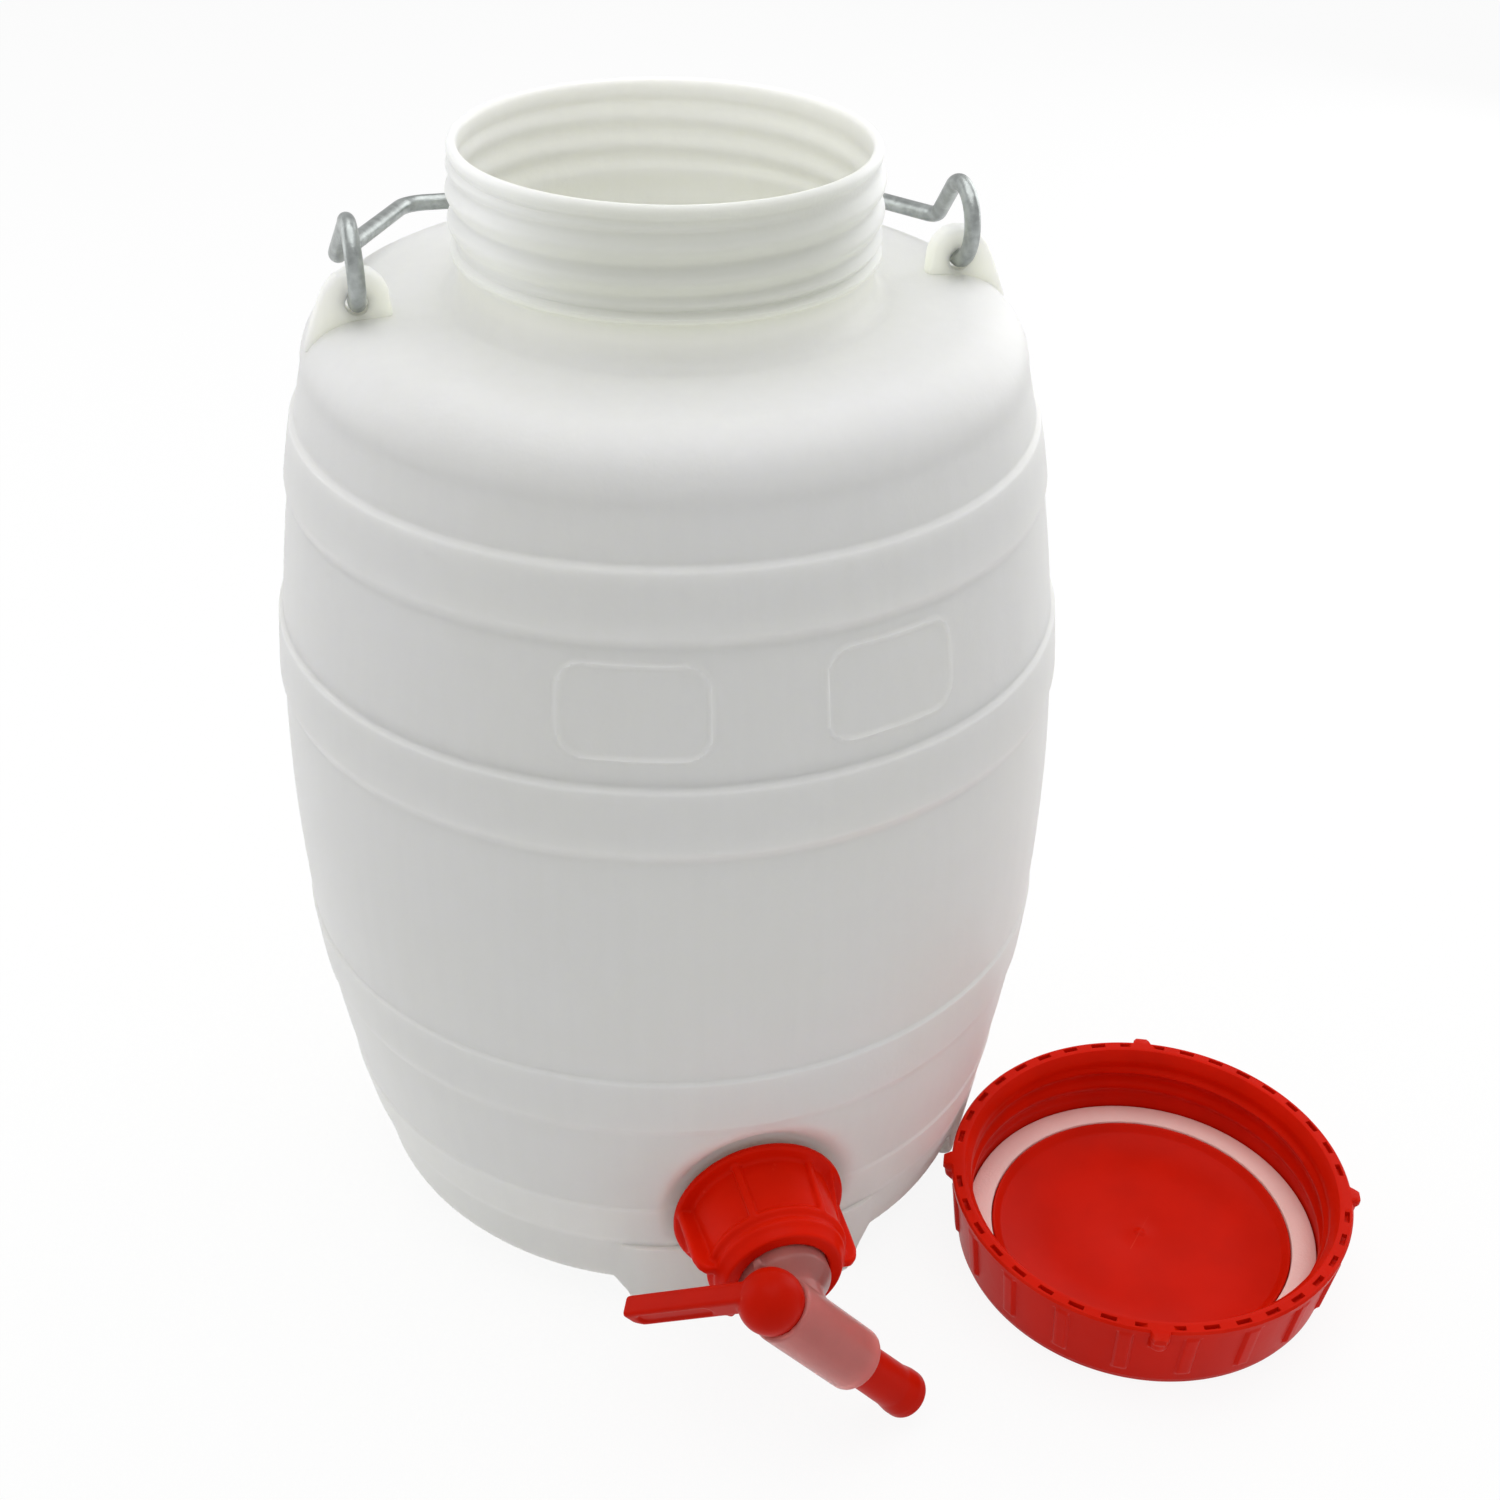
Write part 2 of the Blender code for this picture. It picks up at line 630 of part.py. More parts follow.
def bail_path(side):
    """Half of the wire's centre line, from the hook's tip to the bar's middle, seen from the hinge's axis."""
    reach = hypot(BAIL_CORNER_BACK, BAIL_CORNER_DROP)
    leave = acos(HOOK_RADIUS / reach) - atan2(BAIL_CORNER_DROP, BAIL_CORNER_BACK)
    steps = ceil((HOOK_TIP_ANGLE - leave) / HOOK_STEP)
    points = []
    for k in range(steps + 1):
        angle = HOOK_TIP_ANGLE + (leave - HOOK_TIP_ANGLE) * k / steps
        points.append(Vector((side * EAR_PLACE, HOOK_RADIUS * cos(angle), HOOK_RADIUS * sin(angle))))
    bar_height = shoulder_height(BAIL_BAR_BACK) + WIRE_RADIUS + GAP - EAR_HOLE_HEIGHT - HOOK_RADIUS
    corner = Vector((side * BAIL_CORNER_PLACE, BAIL_CORNER_BACK, -BAIL_CORNER_DROP))
    bar = Vector((side * BAIL_BAR_HALF, BAIL_BAR_BACK, bar_height))
    middle = Vector((0, BAIL_BAR_BACK, bar_height))
    points += rounded_corner(points[-1], corner, bar, BAIL_BEND, BAIL_BEND_STEPS)
    points += rounded_corner(corner, bar, middle, BAIL_BEND, BAIL_BEND_STEPS)
    return points


def make_bail():
    curve = bpy.data.curves.new("bail", "CURVE")
    curve.dimensions = "3D"
    curve.bevel_depth = WIRE_RADIUS
    curve.bevel_resolution = 2
    curve.use_fill_caps = True
    points = bail_path(-1) + bail_path(1)[::-1]
    spline = curve.splines.new("POLY")
    spline.points.add(len(points) - 1)
    for target, point in zip(spline.points, points):
        target.co = (*point, 1.0)
    curve.materials.append(zinc_wire())
    bail = bpy.data.objects.new("bail", curve)
    bail.location = (0, 0, EAR_HOLE_HEIGHT + HOOK_RADIUS)
    bpy.context.scene.collection.objects.link(bail)


def seal_place():
    return SEAT_DISTANCE + BOSS_LENGTH + GAP


def flange_place():
    return seal_place() + TAP_SEAL_THICKNESS + GAP


def ring_outline(inner, outer, thickness):
    return ((inner, 0), (outer, 0), (outer, thickness), (inner, thickness))


def make_tap_seal():
    outline = ring_outline(TAP_SEAL_INNER, TAP_SEAL_OUTER, TAP_SEAL_THICKNESS)
    face_out(turned("tap_seal", outline, TAP_COLUMNS, soft_seal(), closed=True), seal_place())


def nut_length():
    """From the nut's back face to the inside of its front wall."""
    return flange_place() + TAP_FLANGE_THICKNESS + GAP - SEAT_DISTANCE - NUT_BACK_GAP


def nut_outline():
    """The nut's section, as a closed loop that ends with the thread inside it."""
    inside = nut_length()
    front = inside + NUT_NOSE_LENGTH
    bead = inside - NUT_BEAD_WIDTH
    hole = STUB_RADIUS + NUT_HOLE_CLEARANCE
    skirt = NUT_SKIRT_FRONT_RADIUS
    groove = BOSS_RADIUS + TAP_THREAD_DEPTH + TAP_THREAD_CLEARANCE
    outline = [
        (groove, 0),
        (NUT_FLANGE_RADIUS - NUT_FLANGE_THICKNESS / 4, 0),
        (NUT_FLANGE_RADIUS, NUT_FLANGE_THICKNESS / 4),
        (NUT_FLANGE_RADIUS, NUT_FLANGE_THICKNESS * 3 / 4),
        (NUT_FLANGE_RADIUS - NUT_FLANGE_THICKNESS / 4, NUT_FLANGE_THICKNESS),
        (NUT_SKIRT_BACK_RADIUS, NUT_FLANGE_THICKNESS),
        (skirt, bead),
        (skirt + NUT_BEAD_PROUD, bead + NUT_BEAD_WIDTH / 4),
        (skirt + NUT_BEAD_PROUD, bead + NUT_BEAD_WIDTH * 3 / 4),
        (skirt, inside),
        (NUT_NOSE_RADIUS, front),
        (hole, front),
        (hole, inside),
        (groove, inside),
    ]
    heights = thread_heights(BOSS_THREAD_START, NUT_TURNS, TAP_PITCH, TAP_ROWS_PER_TURN)
    for height in reversed(heights):
        outline.append((nut_thread(height), height - NUT_BACK_GAP))
    return outline


def nut_thread(height):
    """The radius inside the nut, which follows the boss's thread and is a plain bore at each end."""
    end = BOSS_THREAD_START + NUT_TURNS * TAP_PITCH
    share = faded(height, BOSS_THREAD_START, end, TAP_PITCH / TAP_ROWS_PER_TURN)

    def at(angle):
        depth = 1 - share * (1 - ridge(height, angle, TAP_PITCH, 0))
        return BOSS_RADIUS + TAP_THREAD_CLEARANCE + TAP_THREAD_DEPTH * depth

    return at


def nut_rib(angle):
    """A low rib along the nut's skirt, from its flange to its bead."""
    low = NUT_SKIRT_FRONT_RADIUS - NUT_RIB_PROUD / 2
    length = nut_length() - NUT_BEAD_WIDTH / 2
    back = NUT_FLANGE_THICKNESS / 2
    outline = (
        (low, back),
        (NUT_SKIRT_BACK_RADIUS + NUT_RIB_PROUD, back),
        (NUT_SKIRT_FRONT_RADIUS + NUT_BEAD_PROUD, length),
        (low, length),
    )
    rib = prism("nut_rib", outline, NUT_RIB_WIDTH)
    rib.data.transform(Matrix.Rotation(angle, 4, "Z"))
    return rib


def nut_wing(angle):
    """A finger wing: a straight fin with a web that slopes back to the flange."""
    low = NUT_SKIRT_FRONT_RADIUS - NUT_RIB_PROUD / 2
    back = NUT_FLANGE_THICKNESS / 2
    outline = (
        (low, back),
        (NUT_FLANGE_RADIUS - NUT_FLANGE_THICKNESS / 4, back),
        (NUT_WING_RADIUS, NUT_WING_LENGTH - NUT_WING_SLOPE),
        (NUT_WING_TIP_RADIUS, NUT_WING_LENGTH),
        (low, NUT_WING_LENGTH),
    )
    wing = prism("nut_wing", outline, NUT_WING_WIDTH)
    wing.data.transform(Matrix.Rotation(angle, 4, "Z"))
    return wing


def nut_web(angle):
    """The sloping web behind a wing, from the wing's front edge back to the flange."""
    reach = NUT_FLANGE_RADIUS - NUT_FLANGE_THICKNESS / 2
    low = NUT_SKIRT_FRONT_RADIUS - GAP
    back = NUT_FLANGE_THICKNESS / 2
    far = angle + NUT_WING_SPREAD
    points = []
    for radius, turn, place in (
        (low, angle, back),
        (reach, angle, back),
        (low, far, back),
        (reach, far, back),
        (low, far, back + NUT_WING_WEB),
        (reach, far, back + NUT_WING_WEB),
        (NUT_WING_TIP_RADIUS - NUT_WING_WEB, angle, NUT_WING_LENGTH - NUT_WING_WEB),
        (low, angle, NUT_WING_LENGTH - NUT_WING_WEB),
    ):
        points.append((radius * cos(turn), radius * sin(turn), place))
    return hull("nut_web", points)


def make_tap_nut():
    place = SEAT_DISTANCE + NUT_BACK_GAP
    nut = face_out(turned("tap_nut", nut_outline(), TAP_COLUMNS, red_plastic(), closed=True), place)
    for angle in NUT_RIB_ANGLES:
        combine(nut, face_out(nut_rib(angle), place), "UNION")
    for angle in NUT_WING_ANGLES:
        combine(nut, face_out(nut_wing(angle), place), "UNION")
        combine(nut, face_out(nut_web(angle), place), "UNION")


def make_cross():
    """The empty at the place where the tap's inlet and valve axes cross, turned as the tap is swivelled."""
    cross = bpy.data.objects.new("tap_cross", None)
    bpy.context.scene.collection.objects.link(cross)
    cross.location = (0, -CROSS_DISTANCE, TAP_HEIGHT)
    cross.rotation_euler = (0, -SWIVEL, 0)
    return cross


def tap_inlet():
    """The tap body's flange, stub and taper, with its own +Z pointing out along the inlet's axis."""
    start = flange_place() - CROSS_DISTANCE
    shoulder = start + TAP_FLANGE_THICKNESS
    outline = (
        (0, start),
        (TAP_FLANGE_RADIUS, start),
        (TAP_FLANGE_RADIUS, shoulder),
        (STUB_RADIUS, shoulder),
        (STUB_RADIUS, start + STUB_LENGTH),
        (STUB_END_RADIUS, start + STUB_LENGTH + STUB_TAPER),
        (STUB_END_RADIUS, 0),
        (0, 0),
    )
    return turned("tap_body", outline, BODY_COLUMNS, clear_polypropylene())


def stub_key():
    """A small tab on the stub, in front of the nut."""
    front = flange_place() - CROSS_DISTANCE + STUB_LENGTH
    low = STUB_RADIUS - STUB_KEY_PROUD
    outline = (
        (low, front - STUB_KEY_LENGTH),
        (STUB_RADIUS + STUB_KEY_PROUD, front - STUB_KEY_LENGTH),
        (STUB_RADIUS + STUB_KEY_PROUD / 2, front),
        (low, front),
    )
    key = prism("stub_key", outline, STUB_KEY_WIDTH)
    key.data.transform(Matrix.Rotation(STUB_KEY_ANGLE + SWIVEL, 4, "Z"))
    key.rotation_euler = (pi / 2, 0, 0)
    return key


def make_tap_body(cross):
    body = tap_inlet()
    body.parent = cross
    body.rotation_euler = (pi / 2, 0, 0)
    barrel = bore("valve_barrel", VALVE_RADIUS, -VALVE_DROP, VALVE_TOP, BODY_COLUMNS)
    inlet_start = flange_place() - CROSS_DISTANCE - OVERRUN
    inlet = bore("inlet_bore", INLET_BORE_RADIUS, inlet_start, 0, BODY_COLUMNS)
    inlet.rotation_euler = (pi / 2, 0, 0)
    valve_low = -VALVE_DROP - OVERRUN
    valve = bore("valve_bore", VALVE_BORE_RADIUS, valve_low, VALVE_TOP + OVERRUN, BODY_COLUMNS)
    for helper, operation in (
        (stub_key(), "UNION"),
        (barrel, "UNION"),
        (inlet, "DIFFERENCE"),
        (valve, "DIFFERENCE"),
    ):
        helper.parent = cross
        combine(body, helper, operation, "MANIFOLD")


def spindle_outline():
    """The spindle's turned shape, from the dome's top down the plug to the nozzle's tip."""
    plug = VALVE_BORE_RADIUS - SPINDLE_CLEARANCE
    under = VALVE_TOP + SPINDLE_CLEARANCE
    low = acos((DOME_HEIGHT - under) / DOME_RADIUS)
    points = [(0, DOME_HEIGHT + DOME_RADIUS)]
    for k in range(1, DOME_STEPS + 1):
        angle = (pi - low) * k / DOME_STEPS
        points.append((DOME_RADIUS * sin(angle), DOME_HEIGHT + DOME_RADIUS * cos(angle)))
    points += [
        (plug, under),
        (plug, -VALVE_DROP + NOZZLE_ROUND),
        (NOZZLE_RADIUS, -VALVE_DROP),
        (NOZZLE_RADIUS, -NOZZLE_DROP + NOZZLE_TIP_LENGTH),
        (NOZZLE_TIP_RADIUS, -NOZZLE_DROP + NOZZLE_TIP_LENGTH / 2),
        (NOZZLE_TIP_RADIUS, -NOZZLE_DROP + NOZZLE_ROUND),
        (NOZZLE_TIP_RADIUS - NOZZLE_ROUND / 2, -NOZZLE_DROP),
        (0, -NOZZLE_DROP),
    ]
    return points


def lever_solid():
    """The lever along the spindle's own +X, with a tip cut off under its end and softened edges."""
    low = LEVER_TOP - LEVER_HEIGHT
    outline = (
        (LEVER_ROOT, low),
        (LEVER_REACH - LEVER_TIP_CUT, low),
        (LEVER_REACH, low + LEVER_TIP_CUT),
        (LEVER_REACH, LEVER_TOP),
        (LEVER_ROOT, LEVER_TOP),
    )
    lever = prism("lever", outline, LEVER_WIDTH)
    bevel = lever.modifiers.new("soft_edges", "BEVEL")
    bevel.width = LEVER_EDGE
    bevel.segments = 2
    return lever


def lever_recess():
    low = LEVER_TOP - LEVER_HEIGHT / 2 - LEVER_RECESS_HEIGHT / 2
    return block(
        "lever_recess",
        (LEVER_RECESS_START, LEVER_WIDTH / 2 - LEVER_RECESS_DEPTH, low),
        (LEVER_RECESS_END, LEVER_WIDTH / 2 + OVERRUN, low + LEVER_RECESS_HEIGHT),
    )


def lever_nub():
    """A small round nub under the lever, near the dome."""
    angles = [pi * k / NUB_STEPS for k in range(NUB_STEPS + 1)]
    outline = [(0, NUB_RADIUS)]
    outline += [(NUB_RADIUS * sin(angle), NUB_RADIUS * cos(angle)) for angle in angles[1:-1]]
    outline += [(0, -NUB_RADIUS)]
    nub = turned("lever_nub", outline, 2 * NUB_STEPS)
    place = (NUB_PLACE, LEVER_WIDTH / 2 - NUB_RADIUS, LEVER_TOP - LEVER_HEIGHT)
    nub.data.transform(Matrix.Translation(place))
    return nub


def make_tap_spindle(cross):
    spindle = turned("tap_spindle", spindle_outline(), BODY_COLUMNS, red_plastic())
    spindle.parent = cross
    spindle.rotation_euler = (0, 0, LEVER_ANGLE)
    nozzle = bore("nozzle_bore", NOZZLE_BORE_RADIUS, -NOZZLE_DROP - OVERRUN, PORT_RADIUS, BODY_COLUMNS)
    port = bore("port", PORT_RADIUS, 0, VALVE_RADIUS, BODY_COLUMNS)
    port.rotation_euler = (pi / 2, 0, pi / 2)
    lever = lever_solid()
    recess = lever_recess()
    nub = lever_nub()
    for helper in (lever, recess, nub):
        helper.rotation_euler = (0, 0, LEVER_ANGLE)
    for helper, operation in (
        (lever, "UNION"),
        (recess, "DIFFERENCE"),
        (nub, "UNION"),
        (nozzle, "DIFFERENCE"),
        (port, "DIFFERENCE"),
    ):
        helper.parent = cross
        combine(spindle, helper, operation, "MANIFOLD")


def lid_radius(height, ribs):
    """The lid's outer radius at a height above its top face, with a rib every few degrees."""
    share = height / LID_HEIGHT
    plain = LID_TOP_RADIUS + (LID_RIM_RADIUS - LID_TOP_RADIUS) * share

    def at(angle):
        column = round(angle / (2 * pi) * LID_COLUMNS)
        on_rib = column % (LID_COLUMNS // LID_RIBS) == 0
        return plain + (LID_RIB_PROUD if ribs and on_rib else 0)

    return at


def lid_thread(height):
    """The radius inside the lid, where a thread stands in from the wall."""
    share = faded(height, LID_THREAD_START, LID_THREAD_END, THREAD_PITCH / THREAD_ROWS_PER_TURN)

    def at(angle):
        return LID_BORE_RADIUS - share * LID_THREAD_DEPTH * ridge(height, angle, THREAD_PITCH, 0)

    return at


def lid_outline():
    """The lid's section from its disc's middle inside, up its thread, over its rim and down its skirt."""
    floor = LID_TOP_THICKNESS
    rim = LID_RIM_RADIUS + LID_RIB_PROUD
    band = LID_HEIGHT - LID_TOP_ROUND
    outline = [
        (0, floor + LID_DISC_RISE),
        (LID_DISC_RADIUS, floor + LID_DISC_RISE),
        (LID_DISC_RADIUS + LID_DISC_RISE, floor),
        (LID_BORE_RADIUS, floor),
    ]
    for height in spaced(LID_THREAD_START, LID_THREAD_END, THREAD_PITCH / THREAD_ROWS_PER_TURN):
        outline.append((lid_thread(height), height))
    outline += [
        (LID_BORE_RADIUS, LID_HEIGHT - LID_MOUTH_LENGTH),
        (LID_MOUTH_RADIUS, LID_HEIGHT),
        (rim - LID_RIB_PROUD / 2, LID_HEIGHT),
        (rim, LID_HEIGHT - RIM_EDGE),
        (rim, band),
        (lid_radius(band, True), band - RIM_EDGE),
        (lid_radius(LID_RIB_START, True), LID_RIB_START),
        (lid_radius(LID_TOP_ROUND, False), LID_TOP_ROUND),
        (LID_TOP_RADIUS - LID_TOP_ROUND, 0),
        (0, 0),
    ]
    return outline


def lid_lug(angle):
    """A finger lug under the rim of the lid."""
    inner = LID_RIM_RADIUS - OVERRUN
    outer = LID_RIM_RADIUS + LUG_PROUD
    outline = (
        (inner, LID_HEIGHT - LUG_HEIGHT - LUG_PROUD),
        (outer, LID_HEIGHT - LUG_HEIGHT),
        (outer, LID_HEIGHT - RIM_EDGE),
        (inner, LID_HEIGHT - RIM_EDGE),
    )
    lug = prism("lid_lug", outline, LUG_WIDTH)
    lug.data.transform(Matrix.Rotation(angle, 4, "Z"))
    return lug


def place_on_floor(obj, height):
    obj.location = (LID_PLACE_X, LID_PLACE_Y, height - FOOT_DROP)
    obj.rotation_euler = (0, 0, LID_TURN)
    return obj


def make_lid():
    lid = place_on_floor(turned("lid", lid_outline(), LID_COLUMNS, red_plastic()), 0)
    for k in range(LUG_COUNT):
        combine(lid, place_on_floor(lid_lug(2 * pi * k / LUG_COUNT), 0), "UNION")


def make_lid_seal():
    outer = LID_BORE_RADIUS - SEAL_OUTER_CLEARANCE
    outline = ring_outline(SEAL_INNER_RADIUS, outer, SEAL_THICKNESS)
    seal = turned("lid_seal", outline, BARREL_COLUMNS, soft_seal(), closed=True)
    place_on_floor(seal, LID_TOP_THICKNESS + GAP)


def main():
    clear_scene()
    make_barrel()
    make_bail()
    make_tap_seal()
    make_tap_nut()
    cross = make_cross()
    make_tap_body(cross)
    make_tap_spindle(cross)
    make_lid()
    make_lid_seal()


main()
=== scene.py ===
"""Looks for a ten-litre plastic barrel with a wire bail, a red screw lid taken off and a red tap."""

from math import acos, atan2, ceil, cos, hypot, pi, radians, sin

import bmesh
import bpy
import numpy as np
from bpy.props import FloatProperty, FloatVectorProperty, IntProperty, PointerProperty
from mathutils import Matrix, Vector


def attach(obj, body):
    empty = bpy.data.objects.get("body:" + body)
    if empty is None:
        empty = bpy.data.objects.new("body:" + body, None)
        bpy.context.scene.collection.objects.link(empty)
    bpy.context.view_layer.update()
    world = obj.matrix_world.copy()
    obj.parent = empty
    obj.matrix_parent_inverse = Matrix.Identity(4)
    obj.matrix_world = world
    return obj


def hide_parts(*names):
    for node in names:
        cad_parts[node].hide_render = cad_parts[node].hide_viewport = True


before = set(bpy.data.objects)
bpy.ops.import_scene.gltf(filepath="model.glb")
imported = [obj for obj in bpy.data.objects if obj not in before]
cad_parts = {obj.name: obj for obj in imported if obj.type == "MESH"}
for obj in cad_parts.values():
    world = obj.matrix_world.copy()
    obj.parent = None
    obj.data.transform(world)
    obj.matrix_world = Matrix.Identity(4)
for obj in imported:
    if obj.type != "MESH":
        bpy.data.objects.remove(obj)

bl_info = {
    "name": "Spigot barrel",
    "version": (1, 0, 0),
    "blender": (4, 5, 0),
    "location": "View3D > Sidebar > Barrel",
    "description": "Dresses a plastic barrel, its bail, its lid and its tap",
    "category": "Object",
}

MM = 0.001
SHARP = radians(38.0)
MOULDED_SHARP = radians(60.0)
ON_SIDE = Matrix.Rotation(pi / 2, 4, "X")
WHITE = (1.0, 1.0, 1.0)

# Barrel wall
WALL = 2.2 * MM
BELLY_RADIUS = 115.5 * MM
BELLY_HEIGHT = 134.0 * MM
BELLY_BOW = 1074.0 * MM
HOOP_LEDGE = 1.8 * MM
HOOP_FOOT = 4.5 * MM
HOOP_SPANS = [(low * MM, high * MM) for low, high in ((25, 46), (80, 104), (178, 201), (236, 257.5))]
HOOP_SHARES = (0.45, 0.6, 1.0, 1.0)

# Barrel base
PANEL_RADIUS = 78.0 * MM
BASE_CORNER_WIDTH = 12.0 * MM
BASE_CORNER_HEIGHT = 10.0 * MM
FOOT_DROP = 11.0 * MM
FOOT_TOP_RADIUS = 105.8 * MM
FOOT_RADIUS = 101.0 * MM
FOOT_EDGE = 3.0 * MM
FOOT_INNER_RADIUS = 88.0 * MM
FOOT_FADE = radians(5.0)
FOOT_SPANS = [(radians(at), radians(half)) for at, half in ((0, 34), (90, 20), (153, 14.5), (270, 22.2))]

# Shoulder and neck
CORNER_HEIGHT = 270.7 * MM
CORNER_WIDTH = 18.4 * MM
SHOULDER_HEIGHT = 285.0 * MM
SHOULDER_CROWN = 1.2 * MM
NECK_RADIUS = 55.0 * MM
NECK_BORE_RADIUS = 53.0 * MM
NECK_FILLET = 6.0 * MM
COLLAR_HEIGHT = 298.5 * MM
COLLAR_PROUD = 1.6 * MM
COLLAR_HALF = 1.5 * MM
RIM_HEIGHT = 326.0 * MM
RIM_PROUD = 0.8 * MM
RIM_DEPTH = 3.6 * MM
THREAD_PITCH = 7.65 * MM
THREAD_DEPTH = 1.9 * MM
THREAD_START = 301.0 * MM
THREAD_END = 321.5 * MM
THREAD_PHASE = radians(-60.0)

# Moulded panels, as angles from the tap towards +X
PANEL_ANGLES = (radians(-18.0), radians(18.0))
PANEL_HEIGHT = 220.3 * MM
PANEL_HALF_WIDTH = 20.5 * MM
PANEL_HALF_HEIGHT = 12.3 * MM
PANEL_CORNER = 7.0 * MM
PANEL_LINE = 0.9 * MM
PANEL_TURN = radians(13.0)

# Ears
EAR_PLACE = 82.0 * MM
EAR_THICKNESS = 5.0 * MM
EAR_HOLE_HEIGHT = 289.0 * MM
EAR_HOLE_RADIUS = 3.0 * MM
EAR_HALF_WIDTH = 8.8 * MM
EAR_TOP = 9.0 * MM
EAR_BOTTOM = 12.0 * MM

# Bail
HOOK_RADIUS = 10.0 * MM
HOOK_TIP_ANGLE = radians(300.0)
BAIL_CORNER_PLACE = 84.5 * MM
BAIL_CORNER_BACK = 24.0 * MM
BAIL_CORNER_DROP = 6.5 * MM
BAIL_BAR_HALF = 60.0 * MM
BAIL_BAR_BACK = 78.0 * MM
BAIL_BEND = 9.0 * MM

# Tap seat, boss and nut
TAP_HEIGHT = 41.5 * MM
SEAT_DISTANCE = 103.8 * MM
SEAT_RADIUS = 28.0 * MM
SEAT_TURN = radians(24.0)
SEAT_TOP = 84.0 * MM
BOSS_LENGTH = 20.4 * MM
BOSS_RADIUS = 17.0 * MM
BOSS_BORE_RADIUS = 14.0 * MM
BOSS_THREAD_START = 4.2 * MM
BOSS_THREAD_END = 14.2 * MM
TAP_PITCH = 4.0 * MM
TAP_THREAD_DEPTH = 1.1 * MM
NUT_BACK = 106.0 * MM
NUT_INSIDE = 23.6 * MM
NUT_FRONT = 29.6 * MM
NUT_HOLE_RADIUS = 13.8 * MM
NUT_GROOVE_RADIUS = 18.6 * MM
NUT_RIB_ANGLES = [radians(angle) for angle in (50, 110, 230, 290)]
NUT_WING_ANGLES = [radians(angle) for angle in (-12, 168)]

# Tap body and spindle, round the place where the inlet and the valve barrel cross
FLANGE_PLACE = 126.6 * MM
CROSS_DISTANCE = 152.0 * MM
SWIVEL = radians(38.0)
VALVE_RADIUS = 9.7 * MM
VALVE_TOP = 9.6 * MM
VALVE_DROP = 28.0 * MM
VALVE_BORE_RADIUS = 8.0 * MM
INLET_BORE_RADIUS = 6.0 * MM
DOME_RADIUS = 9.6 * MM
DOME_HEIGHT = 14.4 * MM
NOZZLE_RADIUS = 6.7 * MM
NOZZLE_TIP_RADIUS = 7.5 * MM
NOZZLE_DROP = 57.0 * MM
NOZZLE_BORE_RADIUS = 4.2 * MM
LEVER_ANGLE = radians(149.0)
LEVER_REACH = 47.5 * MM
LEVER_WIDTH = 6.6 * MM
LEVER_HEIGHT = 8.2 * MM
LEVER_TOP = 23.0 * MM
LEVER_ROOT = 4.0 * MM
LEVER_TIP_CUT = 2.5 * MM
LEVER_RECESS_CENTRES = (41.7 * MM, 19.3 * MM)
LEVER_RECESS_RADIUS = 2.3 * MM
LEVER_RECESS_DEPTH = 0.8 * MM
NUB_RADIUS = 1.4 * MM
NUB_PLACE = 13.5 * MM

# Lid, lying upside down on the floor
LID_PLACE = (133.56 * MM, -105.66 * MM)
LID_TURN = radians(68.1)
LID_HEIGHT = 30.0 * MM
LID_TOP_RADIUS = 60.5 * MM
LID_RIM_RADIUS = 64.2 * MM
LID_RIB_PROUD = 0.9 * MM
LID_RIB_START = 7.0 * MM
LID_BAND_START = 26.2 * MM
LID_FLOOR = 2.6 * MM
LID_DISC_RADIUS = 46.0 * MM
LID_DISC_RISE = 0.3 * MM
LID_BORE_RADIUS = 58.2 * MM
LID_MOUTH_RADIUS = 60.4 * MM
LID_THREAD_DEPTH = 1.3 * MM
LID_THREAD_START = 9.0 * MM
LID_THREAD_END = 24.0 * MM
LUG_COUNT = 4
LUG_HALF = radians(2.6)
LUG_PROUD = 3.4 * MM
LUG_START = 20.5 * MM
SEAL_INNER_RADIUS = 49.8 * MM
SEAL_THICKNESS = 2.8 * MM
SEAL_EDGE = 0.5 * MM

# Floor and lamps, each lamp with its place, its size and its share of the power
FLOOR_REACH = 3.0
FLOOR_GLOW = 0.9
LAMP_AIM = (0, 0, 0.15)
LAMPS = (
    ("overhead", (0.05, 0.05, 1.25), 1.1, 1.0),
    ("back_left", (-1.1, 0.75, 0.6), 1.0, 0.6),
    ("back_right", (1.1, 0.65, 0.6), 1.0, 0.9),
)

# Camera, fitted to the neck, the hoops, the ears and the lid
EYE = (-112.54 * MM, -491.38 * MM, 471.78 * MM)
HEADING = radians(17.5)
PITCH_DOWN = radians(37.02)
ROLL = radians(2.08)
SHIFT = (-0.032, 0.08)


# Settings


class BarrelSettings(bpy.types.PropertyGroup):
    """Sizes and colours of the blow-moulded barrel."""

    colour: FloatVectorProperty(
        name="Milky plastic",
        description="Colour of the uncoloured plastic",
        subtype="COLOR",
        default=(0.975, 0.99, 0.86),
    )
    hoop_proud: FloatProperty(
        name="Hoop height",
        description="How far the four hoops stand out from the wall",
        unit="LENGTH",
        default=1.3 * MM,
    )
    panel_proud: FloatProperty(
        name="Panel frame height",
        description="How far the frames of the bare panels stand out",
        unit="LENGTH",
        default=0.55 * MM,
    )
    columns: IntProperty(
        name="Columns",
        description="Faces round the barrel",
        default=144,
    )


class BailSettings(bpy.types.PropertyGroup):
    """Size and colour of the wire bail."""

    colour: FloatVectorProperty(
        name="Zinc",
        description="Colour of the plated wire",
        subtype="COLOR",
        default=(0.46, 0.49, 0.48),
    )
    wire_radius: FloatProperty(
        name="Wire radius",
        description="Half of the wire's thickness",
        unit="LENGTH",
        default=2.25 * MM,
    )


